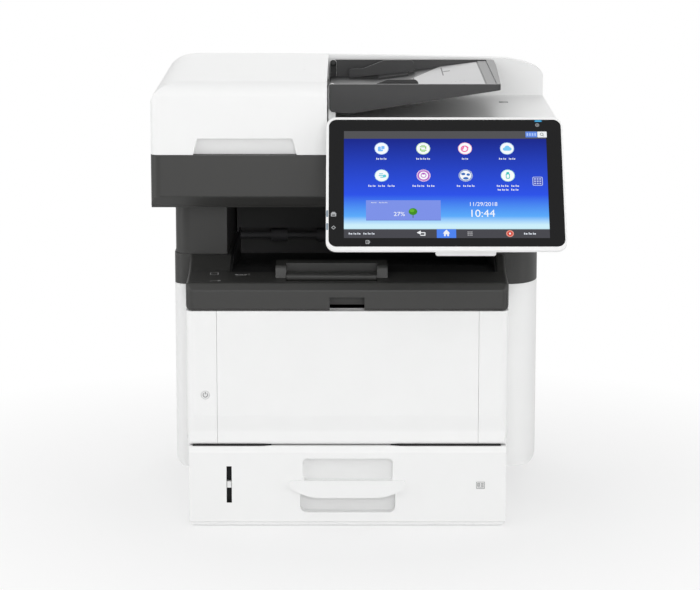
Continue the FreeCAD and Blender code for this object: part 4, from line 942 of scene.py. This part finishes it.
def makeTrayRule():
    # stop lines for the sheet sizes and a short row of dots near the end of the floor
    bm = bmesh.new()
    for x, d, wide, deep in trayRule["strokes"]:
        part = bmesh.new()
        tile(part, 0, 0, wide, deep, 0, 0, min(wide, deep) * 0.3)
        part.transform(onTray(x, d, trayRule["lift"]))
        stamp(bm, part, 0)
    first, d, count = trayRule["dots"]
    for i in range(count):
        part = bmesh.new()
        disc(part, 0, 0, 0.9, 0, 0, 16)
        part.transform(onTray(first + i * trayRule["apart"], d, trayRule["lift"]))
        stamp(bm, part, 0)
    keep("tray_rule", bm, "document_tray", [trayMark])


makeTrayRule()

pivotCap = {"x": (-31.4, -23.6), "z": (472.0, 503.9), "place": 333.42}


def makePivotCap():
    # thin dark shield on the face of the rear pivot lug, rounded over its top
    bm = bmesh.new()
    x0, x1 = pivotCap["x"]
    z0, z1 = pivotCap["z"]
    radius = (x1 - x0) / 2
    tile(bm, (x0 + x1) / 2, (z0 + z1 - radius) / 2, x1 - x0, z1 - z0 - radius, 0.2, 0)
    disc(bm, (x0 + x1) / 2, z1 - radius, radius, 0.2, 0, 32)
    ring(bm, (x0 + x1) / 2, z1 - radius, 2.4, 0.5, 0.26, 1, 24)
    keep("pivot_cap", bm, "lid", [darkPlastic, blackPlastic],
         facing(pivotCap["place"] / 1000 + frontY + 0.0002))


makePivotCap()

lidSign = {"place": (180.0, 277.0), "size": (11.0, 11.0), "deck": 458.0}


def makeLidSign():
    # small dark mark let into the low deck of the lid, beyond the end of the tray
    bm = bmesh.new()
    x, d = lidSign["place"]
    wide, deep = lidSign["size"]
    tile(bm, x, d, wide, deep, 0.26, 0, 1.4)
    tile(bm, x + 1.6, d, wide * 0.5, deep * 0.5, 0.28, 1, 0.6)
    keep("lid_sign", bm, "lid", [trayMark, printPale],
         Matrix.Translation((0, frontY, lidSign["deck"] / 1000)))


makeLidSign()

print("stage: sockets on the back")

ports = {"plane": 387.8, "bay": (128.0, 176.0, 120.0, 200.0), "row": (
    # kind, centre across, centre height, width, height
    ("net", 152.0, 184.0, 16.0, 13.4), ("usbB", 152.0, 164.0, 12.0, 11.0), ("usbA", 152.0, 148.0, 14.0, 6.6),
    ("usbA", 152.0, 134.0, 14.0, 6.6))}


def frameBlock(bm, x, z, wide, high, front, deep, hollow, skin, index):
    # socket shell open to the back, edges softened
    shape = bmesh.new()
    bmesh.ops.create_cube(shape, size=0.001, matrix=Matrix.Translation(
        (x / 1000, (front - deep / 2) / 1000 + frontY, z / 1000)) @ Matrix.Diagonal((wide, deep, high, 1)))
    mouth = [f for f in shape.faces if f.normal.y > 0.9]
    bmesh.ops.inset_region(shape, faces=mouth, thickness=skin / 1000, use_even_offset=True)
    pushed = bmesh.ops.extrude_discrete_faces(shape, faces=mouth)["faces"]
    bmesh.ops.translate(shape, verts=pushed[0].verts[:], vec=(0, -hollow / 1000, 0))
    bmesh.ops.bevel(shape, geom=shape.edges[:], offset=0.00018, offset_type="OFFSET", segments=2, profile=0.5,
                    affect="EDGES", material=-1, clamp_overlap=True)
    stamp(bm, shape, index)


def makePorts():
    bm = bmesh.new()
    plane = ports["plane"]
    x0, x1, z0, z1 = ports["bay"]
    frameBlock(bm, (x0 + x1) / 2, (z0 + z1) / 2, x1 - x0 - 0.6, z1 - z0 - 0.6, plane + 2.0, 6.0, 4.6, 1.6, 0)
    for kind, x, z, wide, high in ports["row"]:
        front = plane + 0.6
        frameBlock(bm, x, z, wide, high, front, 3.4, 2.8, 0.7, 1)
        if kind == "net":
            frameBlock(bm, x, z - 0.6, 11.0, 9.0, front - 1.2, 1.6, 1.0, 0.5, 2)
            for i in range(8):
                frameBlock(bm, x - 3.5 + i, z + 2.4, 0.5, 2.2, front - 0.4, 1.6, 0.2, 0.1, 3)
            for side in (-1, 1):
                frameBlock(bm, x + side * 5.6, z + 5.2, 2.0, 1.2, front + 0.1, 0.8, 0.2, 0.3, 4)
        elif kind == "usbB":
            frameBlock(bm, x, z, 6.0, 5.0, front - 0.3, 2.4, 0.3, 0.4, 2)
        else:
            frameBlock(bm, x, z + 1.0, 10.0, 1.6, front - 0.4, 2.2, 0.2, 0.3, 2)
            for i in range(4):
                frameBlock(bm, x - 3.0 + 2 * i, z - 0.1, 0.9, 0.4, front - 0.5, 1.6, 0.1, 0.1, 3)
    mats = [darkPlastic, plateSteel, naturalPlastic, contactGold, greenPlastic]
    keep("rear_sockets", bm, "machine", mats)


contactGold = metal("contactGold", (0.75, 0.55, 0.20), (20, 20, 4), 0.2)
makePorts()
